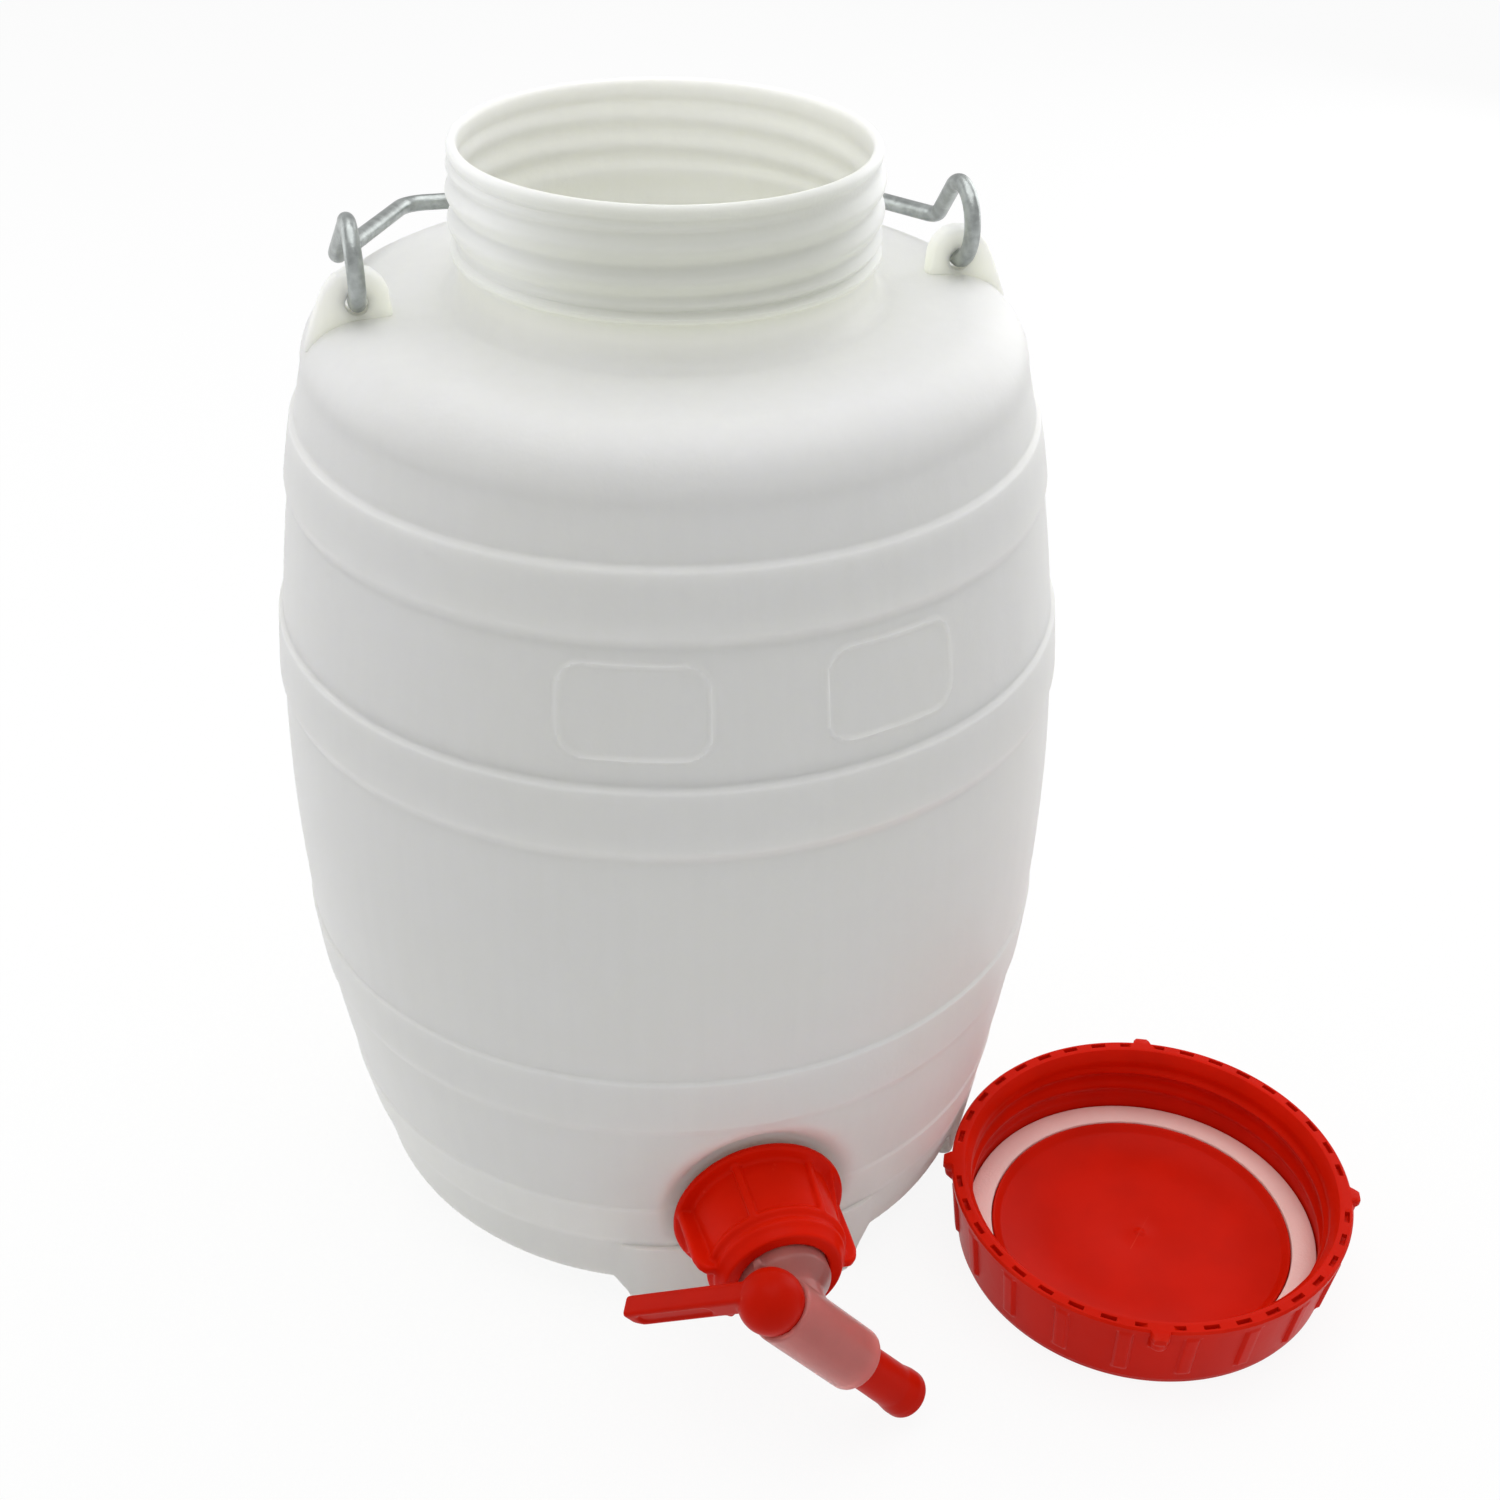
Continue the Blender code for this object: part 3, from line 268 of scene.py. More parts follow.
class LidSettings(bpy.types.PropertyGroup):
    """Counts and colours of the screw lid and its seal."""

    colour: FloatVectorProperty(
        name="Red plastic",
        description="Colour of the lid, the nut and the tap's spindle",
        subtype="COLOR",
        default=(0.62, 0.009, 0.0005),
    )
    seal_colour: FloatVectorProperty(
        name="Seal",
        description="Colour of the soft seal rings",
        subtype="COLOR",
        default=(0.93, 0.62, 0.585),
    )
    ribs: IntProperty(name="Ribs", description="Grip ribs round the skirt", default=20)
    pockets: IntProperty(name="Pockets", description="Pockets round the rim's edge", default=38)


class TapSettings(bpy.types.PropertyGroup):
    """Colours of the tap."""

    body_colour: FloatVectorProperty(
        name="Frosted plastic",
        description="Colour of the tap's translucent body",
        subtype="COLOR",
        default=(0.95, 0.36, 0.33),
    )
    moulding_detail: FloatProperty(
        name="Moulding detail",
        description="Size of the faces on the moulded tap pieces",
        unit="LENGTH",
        default=0.42 * MM,
    )


class StageSettings(bpy.types.PropertyGroup):
    """Floor, light and lens."""

    floor_colour: FloatVectorProperty(
        name="Floor",
        description="Colour of the floor",
        subtype="COLOR",
        default=(0.90, 0.90, 0.90),
    )
    sky: FloatProperty(
        name="Sky",
        description="Strength of the even light from all round",
        default=0.64,
    )
    lamp: FloatProperty(
        name="Lamp",
        description="Power of the soft lamp overhead",
        unit="POWER",
        default=6.0,
    )
    lens: FloatProperty(
        name="Lens",
        description="Focal length on a 36 mm sensor",
        unit="CAMERA",
        default=45.98,
    )


class BarrelScene(bpy.types.PropertyGroup):
    """Every group of settings."""

    barrel: PointerProperty(type=BarrelSettings)
    bail: PointerProperty(type=BailSettings)
    lid: PointerProperty(type=LidSettings)
    tap: PointerProperty(type=TapSettings)
    stage: PointerProperty(type=StageSettings)


# Materials


class Channel:
    """One output of a node. Arithmetic on it adds Math nodes."""

    def __init__(self, nodes, socket):
        self.nodes = nodes
        self.socket = socket

    def maths(self, operation, *values):
        return self.nodes.node("ShaderNodeMath", {"operation": operation}, dict(enumerate(values)))

    def __add__(self, other):
        return self.maths("ADD", self, other)

    def __radd__(self, other):
        return self.maths("ADD", other, self)

    def __sub__(self, other):
        return self.maths("SUBTRACT", self, other)

    def __rsub__(self, other):
        return self.maths("SUBTRACT", other, self)

    def __mul__(self, other):
        return self.maths("MULTIPLY", self, other)

    def __rmul__(self, other):
        return self.maths("MULTIPLY", other, self)

    def __gt__(self, other):
        return self.maths("GREATER_THAN", self, other)

    def __lt__(self, other):
        return self.maths("LESS_THAN", self, other)


class Nodes:
    """A node tree, whose nodes all come from one method."""

    def __init__(self, tree):
        self.tree = tree

    def feed(self, socket, value):
        if isinstance(value, Channel):
            self.tree.links.new(value.socket, socket)
        elif hasattr(value, "__len__") and socket.type == "RGBA":
            socket.default_value = (*value, 1.0) if len(value) == 3 else value
        else:
            socket.default_value = value

    def node(self, kind, settings=None, inputs=None, output=0):
        """A new node: its settings first, then its sockets' values or links."""
        node = self.tree.nodes.new(kind)
        for key, value in (settings or {}).items():
            setattr(node, key, value)
        for key, value in (inputs or {}).items():
            self.feed(node.inputs[key], value)
        return Channel(self, node.outputs[output])


class Finish(Nodes):
    """A material and its shader."""

    def __init__(self, name):
        self.material = bpy.data.materials.new(name)
        self.material.use_nodes = True
        super().__init__(self.material.node_tree)
        self.shader = self.tree.nodes["Principled BSDF"]

    def surface(self, colour, roughness):
        self.feed(self.shader.inputs["Base Color"], colour)
        self.feed(self.shader.inputs["Roughness"], roughness)

    def constants(self, **values):
        for key, value in values.items():
            self.feed(self.shader.inputs[key.replace("_", " ")], value)

    def place(self):
        return self.node("ShaderNodeTexCoord", output="Object")

    def stretched(self, place, scale):
        inputs = {"Vector": place, "Scale": scale}
        return self.node("ShaderNodeMapping", inputs=inputs)

    def noise(self, place, scale, detail=2.0, roughness=0.5):
        inputs = {"Vector": place, "Scale": scale, "Detail": detail, "Roughness": roughness}
        return self.node("ShaderNodeTexNoise", inputs=inputs)

    def ramp(self, value, low, high):
        """From 0 at low to 1 at high, smoothly."""
        settings = {"interpolation_type": "SMOOTHSTEP", "clamp": True}
        inputs = {"Value": value, "From Min": low, "From Max": high}
        return self.node("ShaderNodeMapRange", settings, inputs)

    def mixed(self, mask, first, second):
        inputs = {0: mask, 6: first, 7: second}
        return self.node("ShaderNodeMix", {"data_type": "RGBA"}, inputs, output=2)

    def mottled(self, clouds, colour, share):
        """From a darker shade of a colour to the colour itself, over the middle of the clouds."""
        return self.mixed(self.ramp(clouds, 0.3, 0.7), shaded(colour, share), colour)

    def part(self, place, axis):
        return self.node("ShaderNodeSeparateXYZ", inputs={0: place}, output=axis)

    def bumped(self, height, depth):
        inputs = {"Height": height, "Distance": depth, "Strength": 1.0}
        self.feed(self.shader.inputs["Normal"], self.node("ShaderNodeBump", inputs=inputs))


def shaded(colour, share):
    return tuple(channel * share for channel in colour)


def specks(finish, place, scale, size, rarity):
    """Rare small dots: 1 on a dot."""
    inputs = {"Vector": place, "Scale": scale}
    settings = {"feature": "F1"}
    distance = finish.node("ShaderNodeTexVoronoi", settings, inputs, output="Distance")
    cell = finish.node("ShaderNodeTexVoronoi", settings, inputs, output="Color")
    pick = finish.node("ShaderNodeSeparateColor", inputs={0: cell})
    return (distance < size) * (pick > rarity)


def milky_polyethylene(colour):
    """Blow-moulded natural polyethylene: cloudy, faintly streaked along the draw, with a soft orange peel and
    painted shade on the outside of the neck.
    """
    finish = Finish("milky_polyethylene")
    place = finish.place()
    clouds = finish.noise(place, 16.0, 3.0)
    streaks = finish.noise(finish.stretched(place, (220.0, 220.0, 7.0)), 1.0, 2.0)
    peel = finish.noise(place, 700.0, 2.0)
    waves = finish.noise(place, 90.0, 2.0)
    dots = specks(finish, place, 55.0, 0.014, 0.93)
    plain = finish.mottled(clouds * 0.8 + streaks * 0.2, colour, 0.955)
    across = finish.node("ShaderNodeVectorMath", {"operation": "MULTIPLY"}, {0: place, 1: (1.0, 1.0, 0.0)})
    radius = finish.node("ShaderNodeVectorMath", {"operation": "LENGTH"}, {0: across}, output="Value")
    # Painted shade: the outside of the neck is darkened all round, and darkest on its front (-Y) side.
    neck = finish.ramp(finish.part(place, "Z"), COLLAR_HEIGHT - 6 * MM, COLLAR_HEIGHT + 2 * MM)
    neck = neck * finish.ramp(radius, NECK_BORE_RADIUS + 0.5 * MM, NECK_RADIUS)
    front = finish.ramp(finish.part(place, "Y") * -1.0, 15 * MM, NECK_RADIUS)
    red, green, blue = colour
    neck_side_shade = (red * 0.88, green * 0.88, blue)
    neck_front_shade = (red * 0.6, green * 0.6, blue * 0.66)
    plain = finish.mixed(neck, plain, finish.mixed(front, neck_side_shade, neck_front_shade))
    finish.surface(finish.mixed(dots * 0.6, plain, (0.28, 0.26, 0.22)), 0.36 + clouds * 0.10 + streaks * 0.05)
    finish.constants(
        Subsurface_Weight=1.0,
        Subsurface_Radius=(1.0, 1.0, 0.9),
        Subsurface_Scale=0.009,
        IOR=1.5,
        Specular_IOR_Level=0.3,
    )
    finish.bumped(peel * 0.25 + waves + streaks * 0.12, 0.0002)
    return finish.material


def red_moulding(name, colour):
    """Injection-moulded red plastic: a fine eggshell face, darker flow marks and rubbed, paler edges."""
    finish = Finish(name)
    place = finish.place()
    flow = finish.noise(finish.stretched(place, (1.0, 1.0, 0.35)), 45.0, 3.0)
    fine = finish.noise(place, 1500.0, 2.0)
    waves = finish.noise(place, 160.0, 2.0)
    scratches = finish.noise(finish.stretched(place, (900.0, 60.0, 60.0)), 1.0, 1.0)
    edge = finish.node("ShaderNodeNewGeometry", output="Pointiness")
    shade = finish.ramp(flow, 0.3, 0.7)
    worn = finish.ramp(edge, 0.53, 0.60) * shade
    plain = finish.mixed(shade, shaded(colour, 0.90), colour)
    rubbed = (min(1.0, colour[0] * 1.12), colour[1] + 0.05, colour[2] + 0.035)
    finish.surface(finish.mixed(worn * 0.55, plain, rubbed), 0.30 + flow * 0.10 + worn * 0.12)
    finish.constants(
        Subsurface_Weight=0.12,
        Subsurface_Radius=(1.0, 0.15, 0.08),
        Subsurface_Scale=0.002,
        IOR=1.49,
        Specular_IOR_Level=0.05,
    )
    finish.bumped(fine * 0.18 + waves * 0.5 + scratches * 0.12, 0.00012)
    return finish.material


def frosted_body(colour):
    """Translucent unfilled polypropylene, cloudy where it is thick."""
    finish = Finish("frosted_body")
    place = finish.place()
    clouds = finish.noise(place, 120.0, 3.0)
    fine = finish.noise(place, 1400.0, 2.0)
    finish.surface(finish.mottled(clouds, colour, 0.93), 0.26 + clouds * 0.12)
    finish.constants(
        Transmission_Weight=0.72,
        Subsurface_Weight=0.6,
        Subsurface_Radius=(1.0, 0.85, 0.85),
        Subsurface_Scale=0.002,
        IOR=1.4,
    )
    finish.bumped(clouds * 0.6 + fine * 0.15, 0.00015)
    return finish.material


def soft_seal(colour):
    """Closed-cell foam with a matt skin."""
    finish = Finish("soft_seal")
    place = finish.place()
    cells = finish.noise(place, 1100.0, 2.0)
    clouds = finish.noise(place, 40.0, 2.0)
    finish.surface(finish.mottled(clouds, colour, 0.94), 0.48 + cells * 0.15)
    finish.constants(
        Subsurface_Weight=0.5,
        Subsurface_Radius=(1.0, 0.85, 0.8),
        Subsurface_Scale=0.002,
    )
    finish.bumped(cells, 0.00012)
    return finish.material


def zinc_wire(colour):
    """Drawn steel wire with a bright zinc plate that has dulled in blotches."""
    finish = Finish("zinc_wire")
    place = finish.place()
    blotches = finish.noise(place, 260.0, 4.0, 0.6)
    draw = finish.noise(finish.stretched(place, (60.0, 2200.0, 2200.0)), 1.0, 2.0)
    pits = finish.noise(place, 1800.0, 2.0)
    shade = finish.ramp(blotches, 0.35, 0.65)
    finish.surface(finish.mixed(shade, shaded(colour, 0.72), colour), 0.24 + blotches * 0.20)
    finish.constants(Metallic=1.0)
    finish.bumped(pits * 0.5 + draw * 0.3 + blotches * 0.5, 0.00012)
    return finish.material


# Mesh tools


def dressed(obj, material=None, sharp=SHARP):
    """Smooth faces, with edges where the surface turns sharply."""
    obj.data.shade_smooth()
    obj.data.set_sharp_from_angle(angle=sharp)
    if material:
        obj.data.materials.clear()
        obj.data.materials.append(material)
    return obj


def new_object(name, mesh):
    obj = bpy.data.objects.new(name, mesh)
    bpy.context.scene.collection.objects.link(obj)
    return obj


def skin(name, rings, closed=False):
    """A mesh over rings of points. A ring of one point is a tip, and closed joins the last to the first."""
    points = []
    starts = []
    for ring in rings:
        starts.append(len(points))
        points.extend(tuple(point) for point in ring)
    spans = list(range(len(rings)))
    pairs = list(zip(spans, spans[1:])) + ([(spans[-1], 0)] if closed else [])
    faces = []
    for low, high in pairs:
        counts = len(rings[low]), len(rings[high])
        for j, k in zip(range(max(counts)), range(1, max(counts) + 1)):
            face = [starts[low] + j % counts[0], starts[low] + k % counts[0]]
            face += [starts[high] + k % counts[1], starts[high] + j % counts[1]]
            faces.append(list(dict.fromkeys(face)))
    if not closed:
        for end in (0, len(rings) - 1):
            if len(rings[end]) > 1:
                faces.append([starts[end] + j for j in range(len(rings[end]))])
    mesh = bpy.data.meshes.new(name)
    mesh.from_pydata(points, [], faces)
    face_out(mesh)
    return new_object(name, mesh)


def face_out(mesh):
    builder = bmesh.new()
    builder.from_mesh(mesh)
    bmesh.ops.recalc_face_normals(builder, faces=builder.faces[:])
    if builder.calc_volume(signed=True) < 0:
        bmesh.ops.reverse_faces(builder, faces=builder.faces[:])
    builder.to_mesh(mesh)
    builder.free()


def ring(radius, height, angles):
    """A ring of points. Radius and height are numbers or arrays over the angles."""
    radii = np.broadcast_to(radius, angles.shape)
    heights = np.broadcast_to(height, angles.shape)
    return np.column_stack((radii * np.cos(angles), radii * np.sin(angles), heights))


def even_angles(count):
    return np.arange(count) * (2 * pi / count)


def turn_from(angles, centre, pitch=2 * pi):
    """How far each angle is from the nearest of marks a pitch apart."""
    return np.abs((angles - centre + pitch / 2) % pitch - pitch / 2)


def turned(name, outline, columns, closed=False):
    """A turned mesh from (radius, height) points, where a radius of 0 is a tip."""
    angles = even_angles(columns)
    rings = []
    for radius, height in outline:
        tip = np.isscalar(radius) and radius == 0
        rings.append([(0.0, 0.0, height)] if tip else ring(radius, height, angles))
    return skin(name, rings, closed)


def bar(name, radius, low, high, columns=96):
    return turned(name, ((0, low), (radius, low), (radius, high), (0, high)), columns)


def prism(name, outline, thickness, bevel=0.0):
    """An (x, z) outline made solid about y = 0, with rounded edges."""
    rings = [[(x, side * thickness / 2, z) for x, z in outline] for side in (-1, 1)]
    obj = skin(name, rings)
    if bevel:
        modifier = obj.modifiers.new("rounding", "BEVEL")
        modifier.width = bevel
        modifier.segments = 3
        modifier.limit_method = "ANGLE"
        modifier.angle_limit = SHARP
        settle(obj)
    return obj


def settle(obj):
    """Turns an object's modifiers into its mesh."""
    graph = bpy.context.evaluated_depsgraph_get()
    mesh = bpy.data.meshes.new_from_object(obj.evaluated_get(graph), depsgraph=graph)
    obj.modifiers.clear()
    old = obj.data
    obj.data = mesh
    bpy.data.meshes.remove(old)
    return obj


def combine(obj, other, operation="UNION"):
    """Adds or cuts another mesh, which is then deleted."""
    modifier = obj.modifiers.new(operation, "BOOLEAN")
    modifier.operation = operation
    modifier.solver = "MANIFOLD"
    modifier.object = other
    settle(obj)
    mesh = other.data
    bpy.data.objects.remove(other)
    bpy.data.meshes.remove(mesh)
    return obj


def moulded(obj, size, rounds):
    """Melts a mesh's inner corners together, as a moulding has them."""
    remesh = obj.modifiers.new("remesh", "REMESH")
    remesh.mode = "VOXEL"
    remesh.voxel_size = size
    smooth = obj.modifiers.new("smooth", "SMOOTH")
    smooth.factor = 0.5
    smooth.iterations = rounds
    return settle(obj)


def moved(obj, matrix):
    obj.data.transform(matrix)
    return obj


def on_tap_axis(distance):
    """The place on the tap's axis, its own +Z along -Y, a distance out from the barrel's axis."""
    return Matrix.Translation((0, -distance, TAP_HEIGHT)) @ ON_SIDE


def at_cross():
    """The place where the tap's inlet and valve axes cross, turned as the tap is swivelled."""
    return Matrix.Translation((0, -CROSS_DISTANCE, TAP_HEIGHT)) @ Matrix.Rotation(-SWIVEL, 4, "Y")


def quarter(steps):
    """(cosine, sine) pairs from 0 to 90 degrees."""
    return [(cos(pi / 2 * k / steps), sin(pi / 2 * k / steps)) for k in range(steps + 1)]


def ridge(height, angles, pitch, phase):
    """A right-hand thread's height, from 0 at its root to 1 at its crest."""
    return 0.5 + 0.5 * np.cos(2 * pi * (height / pitch - (angles - phase) / (2 * pi)))


def faded(value, start, end, length):
    """From 0 outside a span to 1 inside it, over a length at each end."""
    return np.clip(np.minimum((value - start) / length, (end - value) / length), 0.0, 1.0)


def smooth_step(value):
    value = np.clip(value, 0.0, 1.0)
    return value * value * (3 - 2 * value)


def smooth_least(first, second, blend):
    """The lesser of two surfaces, with a fillet of about a blend between them."""
    mix = np.clip(0.5 + (second - first) / (2 * blend), 0.0, 1.0)
    return second + (first - second) * mix - blend * mix * (1 - mix)


def span(low, high, step):
    """Values from low to high, about a step apart."""
    return list(np.linspace(low, high, max(1, ceil((high - low) / step)) + 1))


# Barrel


def belly_radius(height):
    return BELLY_RADIUS - (height - BELLY_HEIGHT) ** 2 / BELLY_BOW


def hoops(height, proud):
    """How far the hoops stand out at a height."""
    total = 0.0
    for (low, high), share in zip(HOOP_SPANS, HOOP_SHARES):
        up = smooth_step((height - low) / HOOP_FOOT)
        down = smooth_step((high - height) / HOOP_LEDGE)
        total = total + proud * share * up * down
    return total


def panel_frames(angles, height, proud):
    """The raised outlines of the bare panels."""
    total = 0.0
    for centre in PANEL_ANGLES:
        across = turn_from(angles + pi / 2, centre) * BELLY_RADIUS - (PANEL_HALF_WIDTH - PANEL_CORNER)
        up = np.abs(height - PANEL_HEIGHT) - (PANEL_HALF_HEIGHT - PANEL_CORNER)
        outside = np.hypot(np.maximum(across, 0), np.maximum(up, 0))
        edge = outside + np.minimum(np.maximum(across, up), 0) - PANEL_CORNER
        total = total + proud * smooth_step(1 - np.abs(edge) / PANEL_LINE)
    return total


def seat_limit(angles, height, inset):
    """The radius of the flat seat in front and of its sloping sides."""
    facing = np.maximum(-np.sin(angles), 0.05)
    across = belly_radius(height) * np.cos(angles)
    away = np.hypot(across, height - TAP_HEIGHT)
    depth = SEAT_DISTANCE - inset + np.maximum(0, away - SEAT_RADIUS - inset / 2)
    return depth / facing


def wall_radius(angles, height, settings):
    """The outer wall between the base and the shoulder's corner."""
    plain = belly_radius(height) + hoops(height, settings.hoop_proud)
    plain = plain + panel_frames(angles, height, settings.panel_proud)
    return smooth_least(plain, seat_limit(angles, height, 0), 4.0 * MM)


def foot_share(angles):
    """1 on a foot and 0 between the feet."""
    share = np.zeros(angles.shape)
    for centre, half in FOOT_SPANS:
        away = turn_from(angles, centre)
        share = np.maximum(share, smooth_step((half + FOOT_FADE / 2 - away) / FOOT_FADE))
    return share


def base_rings(angles, inset, steps):
    """The base from its panel, over the feet, to the foot of the lowest hoop."""
    share = foot_share(angles)
    wall = belly_radius(BASE_CORNER_HEIGHT) - inset
    width = BASE_CORNER_WIDTH - inset
    height = BASE_CORNER_HEIGHT - inset
    edge = FOOT_EDGE - inset
    drop = inset - FOOT_DROP
    pairs = [((PANEL_RADIUS + inset, inset), (PANEL_RADIUS + inset, inset))]
    pairs.append((((PANEL_RADIUS + wall - width) / 2, inset), (FOOT_INNER_RADIUS + inset, drop)))
    for across, up in quarter(steps):
        between = (wall - width * (1 - up), BASE_CORNER_HEIGHT - height * across)
        foot = (FOOT_RADIUS - inset - edge * (1 - up), drop + edge * (1 - across))
        pairs.append((between, foot))
    top = HOOP_SPANS[0][0]
    pairs.append(((belly_radius(top) - inset, top), (FOOT_TOP_RADIUS - inset, top)))
    rings = []
    for between, foot in pairs:
        radius = between[0] + (foot[0] - between[0]) * share
        level = between[1] + (foot[1] - between[1]) * share
        limit = seat_limit(angles, level, inset)
        rings.append(ring(smooth_least(radius, limit, 1.5 * MM), level, angles))
    return rings


def wall_heights():
    """Heights up the wall, close together on each ledge of a hoop."""
    marks = [HOOP_SPANS[0][0]]
    for low, high in HOOP_SPANS:
        for start, length in ((low, HOOP_FOOT), (high - HOOP_LEDGE, HOOP_LEDGE)):
            marks += [start - 0.7 * MM] + span(start, start + length, length / 6)
            marks += [start + length + 0.7 * MM]
    marks.append(CORNER_HEIGHT)
    marks = sorted(mark for mark in marks if mark > HOOP_SPANS[0][0])
    heights = [marks[0]]
    for low, high in zip(marks, marks[1:]):
        if high - low > 0.05 * MM:
            heights += span(low, high, 4.0 * MM)[1:]
    return heights


def shoulder_points(inset, steps):
    """(radius, height) points from the top of the wall, round the corner and in to the neck."""
    outer = belly_radius(CORNER_HEIGHT)
    inner = outer - CORNER_WIDTH
    points = []
    for across, up in quarter(steps):
        radius = inner + (CORNER_WIDTH - inset) * across
        points.append((radius, CORNER_HEIGHT + (SHOULDER_HEIGHT - CORNER_HEIGHT - inset) * up))
    return points


def neck_points():
    """The hollow fillet between the shoulder and the neck."""
    level = SHOULDER_HEIGHT + SHOULDER_CROWN + NECK_FILLET
    centre = NECK_RADIUS + NECK_FILLET
    return [(centre - NECK_FILLET * up, level - NECK_FILLET * across) for across, up in quarter(8)]


def neck_thread(height, angles):
    share = faded(height, THREAD_START, THREAD_END, THREAD_PITCH / 4)
    return share * ridge(height - THREAD_START, angles, THREAD_PITCH, THREAD_PHASE)


def neck_rings(angles):
    """The outside of the neck: collar, thread and rounded rim."""
    rings = []
    for height in span(COLLAR_HEIGHT - 2 * COLLAR_HALF, RIM_HEIGHT - 1.4 * MM, 0.6 * MM):
        bead = max(0.0, 1 - ((height - COLLAR_HEIGHT) / COLLAR_HALF) ** 2)
        rim = smooth_step((height - RIM_HEIGHT + RIM_DEPTH) / (0.8 * MM))
        radius = NECK_RADIUS + COLLAR_PROUD * smooth_step(bead) + RIM_PROUD * rim
        rings.append(ring(radius + THREAD_DEPTH * neck_thread(height, angles) ** 0.8, height, angles))
    middle = (NECK_RADIUS + RIM_PROUD + NECK_BORE_RADIUS) / 2
    half = (NECK_RADIUS + RIM_PROUD - NECK_BORE_RADIUS) / 2
    for k in range(1, 8):
        turn = pi * k / 8
        rings.append(ring(middle + half * cos(turn), RIM_HEIGHT - 1.4 * MM * (1 - sin(turn)), angles))
    return rings


def inside_rings(angles, settings):
    """The inside, from the rim down the neck and the wall to the middle of the base."""
    rings = []
    for height in reversed(span(SHOULDER_HEIGHT + NECK_FILLET + 1 * MM, RIM_HEIGHT - 1.4 * MM, 1.0 * MM)):
        hollow = 0.9 * MM * neck_thread(height, angles) * faded(height, 0, RIM_HEIGHT - 2 * MM, 2 * MM)
        rings.append(ring(NECK_BORE_RADIUS + hollow, height, angles))
    level = SHOULDER_HEIGHT + SHOULDER_CROWN - WALL
    for across, up in reversed(quarter(6)):
        radius = NECK_BORE_RADIUS + NECK_FILLET * (1 - up)
        rings.append(ring(radius, level + NECK_FILLET * (1 - across), angles))
    for radius, height in reversed(shoulder_points(WALL, 8)):
        rings.append(ring(radius, height, angles))
    for height in reversed(span(HOOP_SPANS[0][1], HOOP_SPANS[-1][1], 5.0 * MM)):
        plain = belly_radius(height) - WALL + hoops(height, settings.hoop_proud)
        limit = seat_limit(angles, height, WALL)
        rings.append(ring(smooth_least(plain, limit, 3 * MM), height, angles))
    rings += reversed(base_rings(angles, WALL, 4))
    return rings


def refined_wall(obj, outer, settings):
    """Finer faces on the panels and round the seat, set back onto the wall's true surface."""
    builder = bmesh.new()
    builder.from_mesh(obj.data)
    builder.verts.ensure_lookup_table()
    is_outer = builder.verts.layers.int.new("outer")
    for index in range(outer):
        builder.verts[index][is_outer] = 1

    def chosen(face, test):
        middle = face.calc_center_median()
        angle = atan2(middle.x, -middle.y)
        return all(v[is_outer] for v in face.verts) and test(angle, middle.z)

    def near_seat(angle, height):
        return abs(angle) < SEAT_TURN and HOOP_SPANS[0][0] + HOOP_FOOT < height < SEAT_TOP

    def near_panel(angle, height):
        near = any(abs(angle - centre) < PANEL_TURN for centre in PANEL_ANGLES)
        return near and abs(height - PANEL_HEIGHT) < PANEL_HALF_HEIGHT + 2 * MM

    for test, cuts in ((near_seat, 3), (near_panel, 5)):
        faces = [face for face in builder.faces if chosen(face, test)]
        edges = list({edge for face in faces for edge in face.edges})
        made = bmesh.ops.subdivide_edges(builder, edges=edges, cuts=cuts, use_grid_fill=True)
        for item in made["geom_inner"]:
            if isinstance(item, bmesh.types.BMVert):
                item[is_outer] = 1
                angle = np.array([atan2(item.co.y, item.co.x)])
                radius = float(wall_radius(angle, item.co.z, settings)[0])
                item.co.x = radius * cos(angle[0])
                item.co.y = radius * sin(angle[0])
    builder.to_mesh(obj.data)
    builder.free()


def tap_boss():
    """The threaded spout that the tap nut screws onto."""
    angles = even_angles(96)
    outline = [(0, -WALL / 2), (BOSS_RADIUS, -WALL / 2), (BOSS_RADIUS, BOSS_THREAD_START - 1 * MM)]
    for height in span(BOSS_THREAD_START, BOSS_THREAD_END, 0.5 * MM):
        share = faded(height, BOSS_THREAD_START, BOSS_THREAD_END, TAP_PITCH / 4)
        thread = share * TAP_THREAD_DEPTH * ridge(height, angles, TAP_PITCH, 0)
        outline.append((BOSS_RADIUS + thread, height))
    edge = 0.6 * MM
    outline += [(BOSS_RADIUS, BOSS_LENGTH - edge), (BOSS_RADIUS - edge, BOSS_LENGTH), (0, BOSS_LENGTH)]
    return moved(turned("tap_boss", outline, 96), on_tap_axis(SEAT_DISTANCE))


def ear_outline():
    """The ear's round-topped tab, from its outer root over its top to its inner root."""
    shares = ((1.7, -1.0), (1.35, -0.35), (1.12, 0.05), (0.93, 0.45), (0.62, 0.78), (0.22, 0.97))
    shares += ((-0.15, 1.0), (-0.5, 0.92), (-0.8, 0.66), (-0.96, 0.3), (-1.0, -0.1), (-1.0, -1.0))
    points = []
    for across, up in shares:
        height = EAR_HOLE_HEIGHT + up * (EAR_TOP if up > 0 else EAR_BOTTOM)
        points.append((EAR_PLACE + across * EAR_HALF_WIDTH, height))
    return points


def add_ears(shell):
    for side in (-1, 1):
        points = [(side * x, z) for x, z in ear_outline()]
        combine(shell, prism("ear", points, EAR_THICKNESS, 1.3 * MM))
    for side in (-1, 1):
        hole = bar("ear_hole", EAR_HOLE_RADIUS, -EAR_THICKNESS, EAR_THICKNESS, 40)
        place = Matrix.Translation((side * EAR_PLACE, 0, EAR_HOLE_HEIGHT))
        combine(shell, moved(hole, place @ ON_SIDE), "DIFFERENCE")


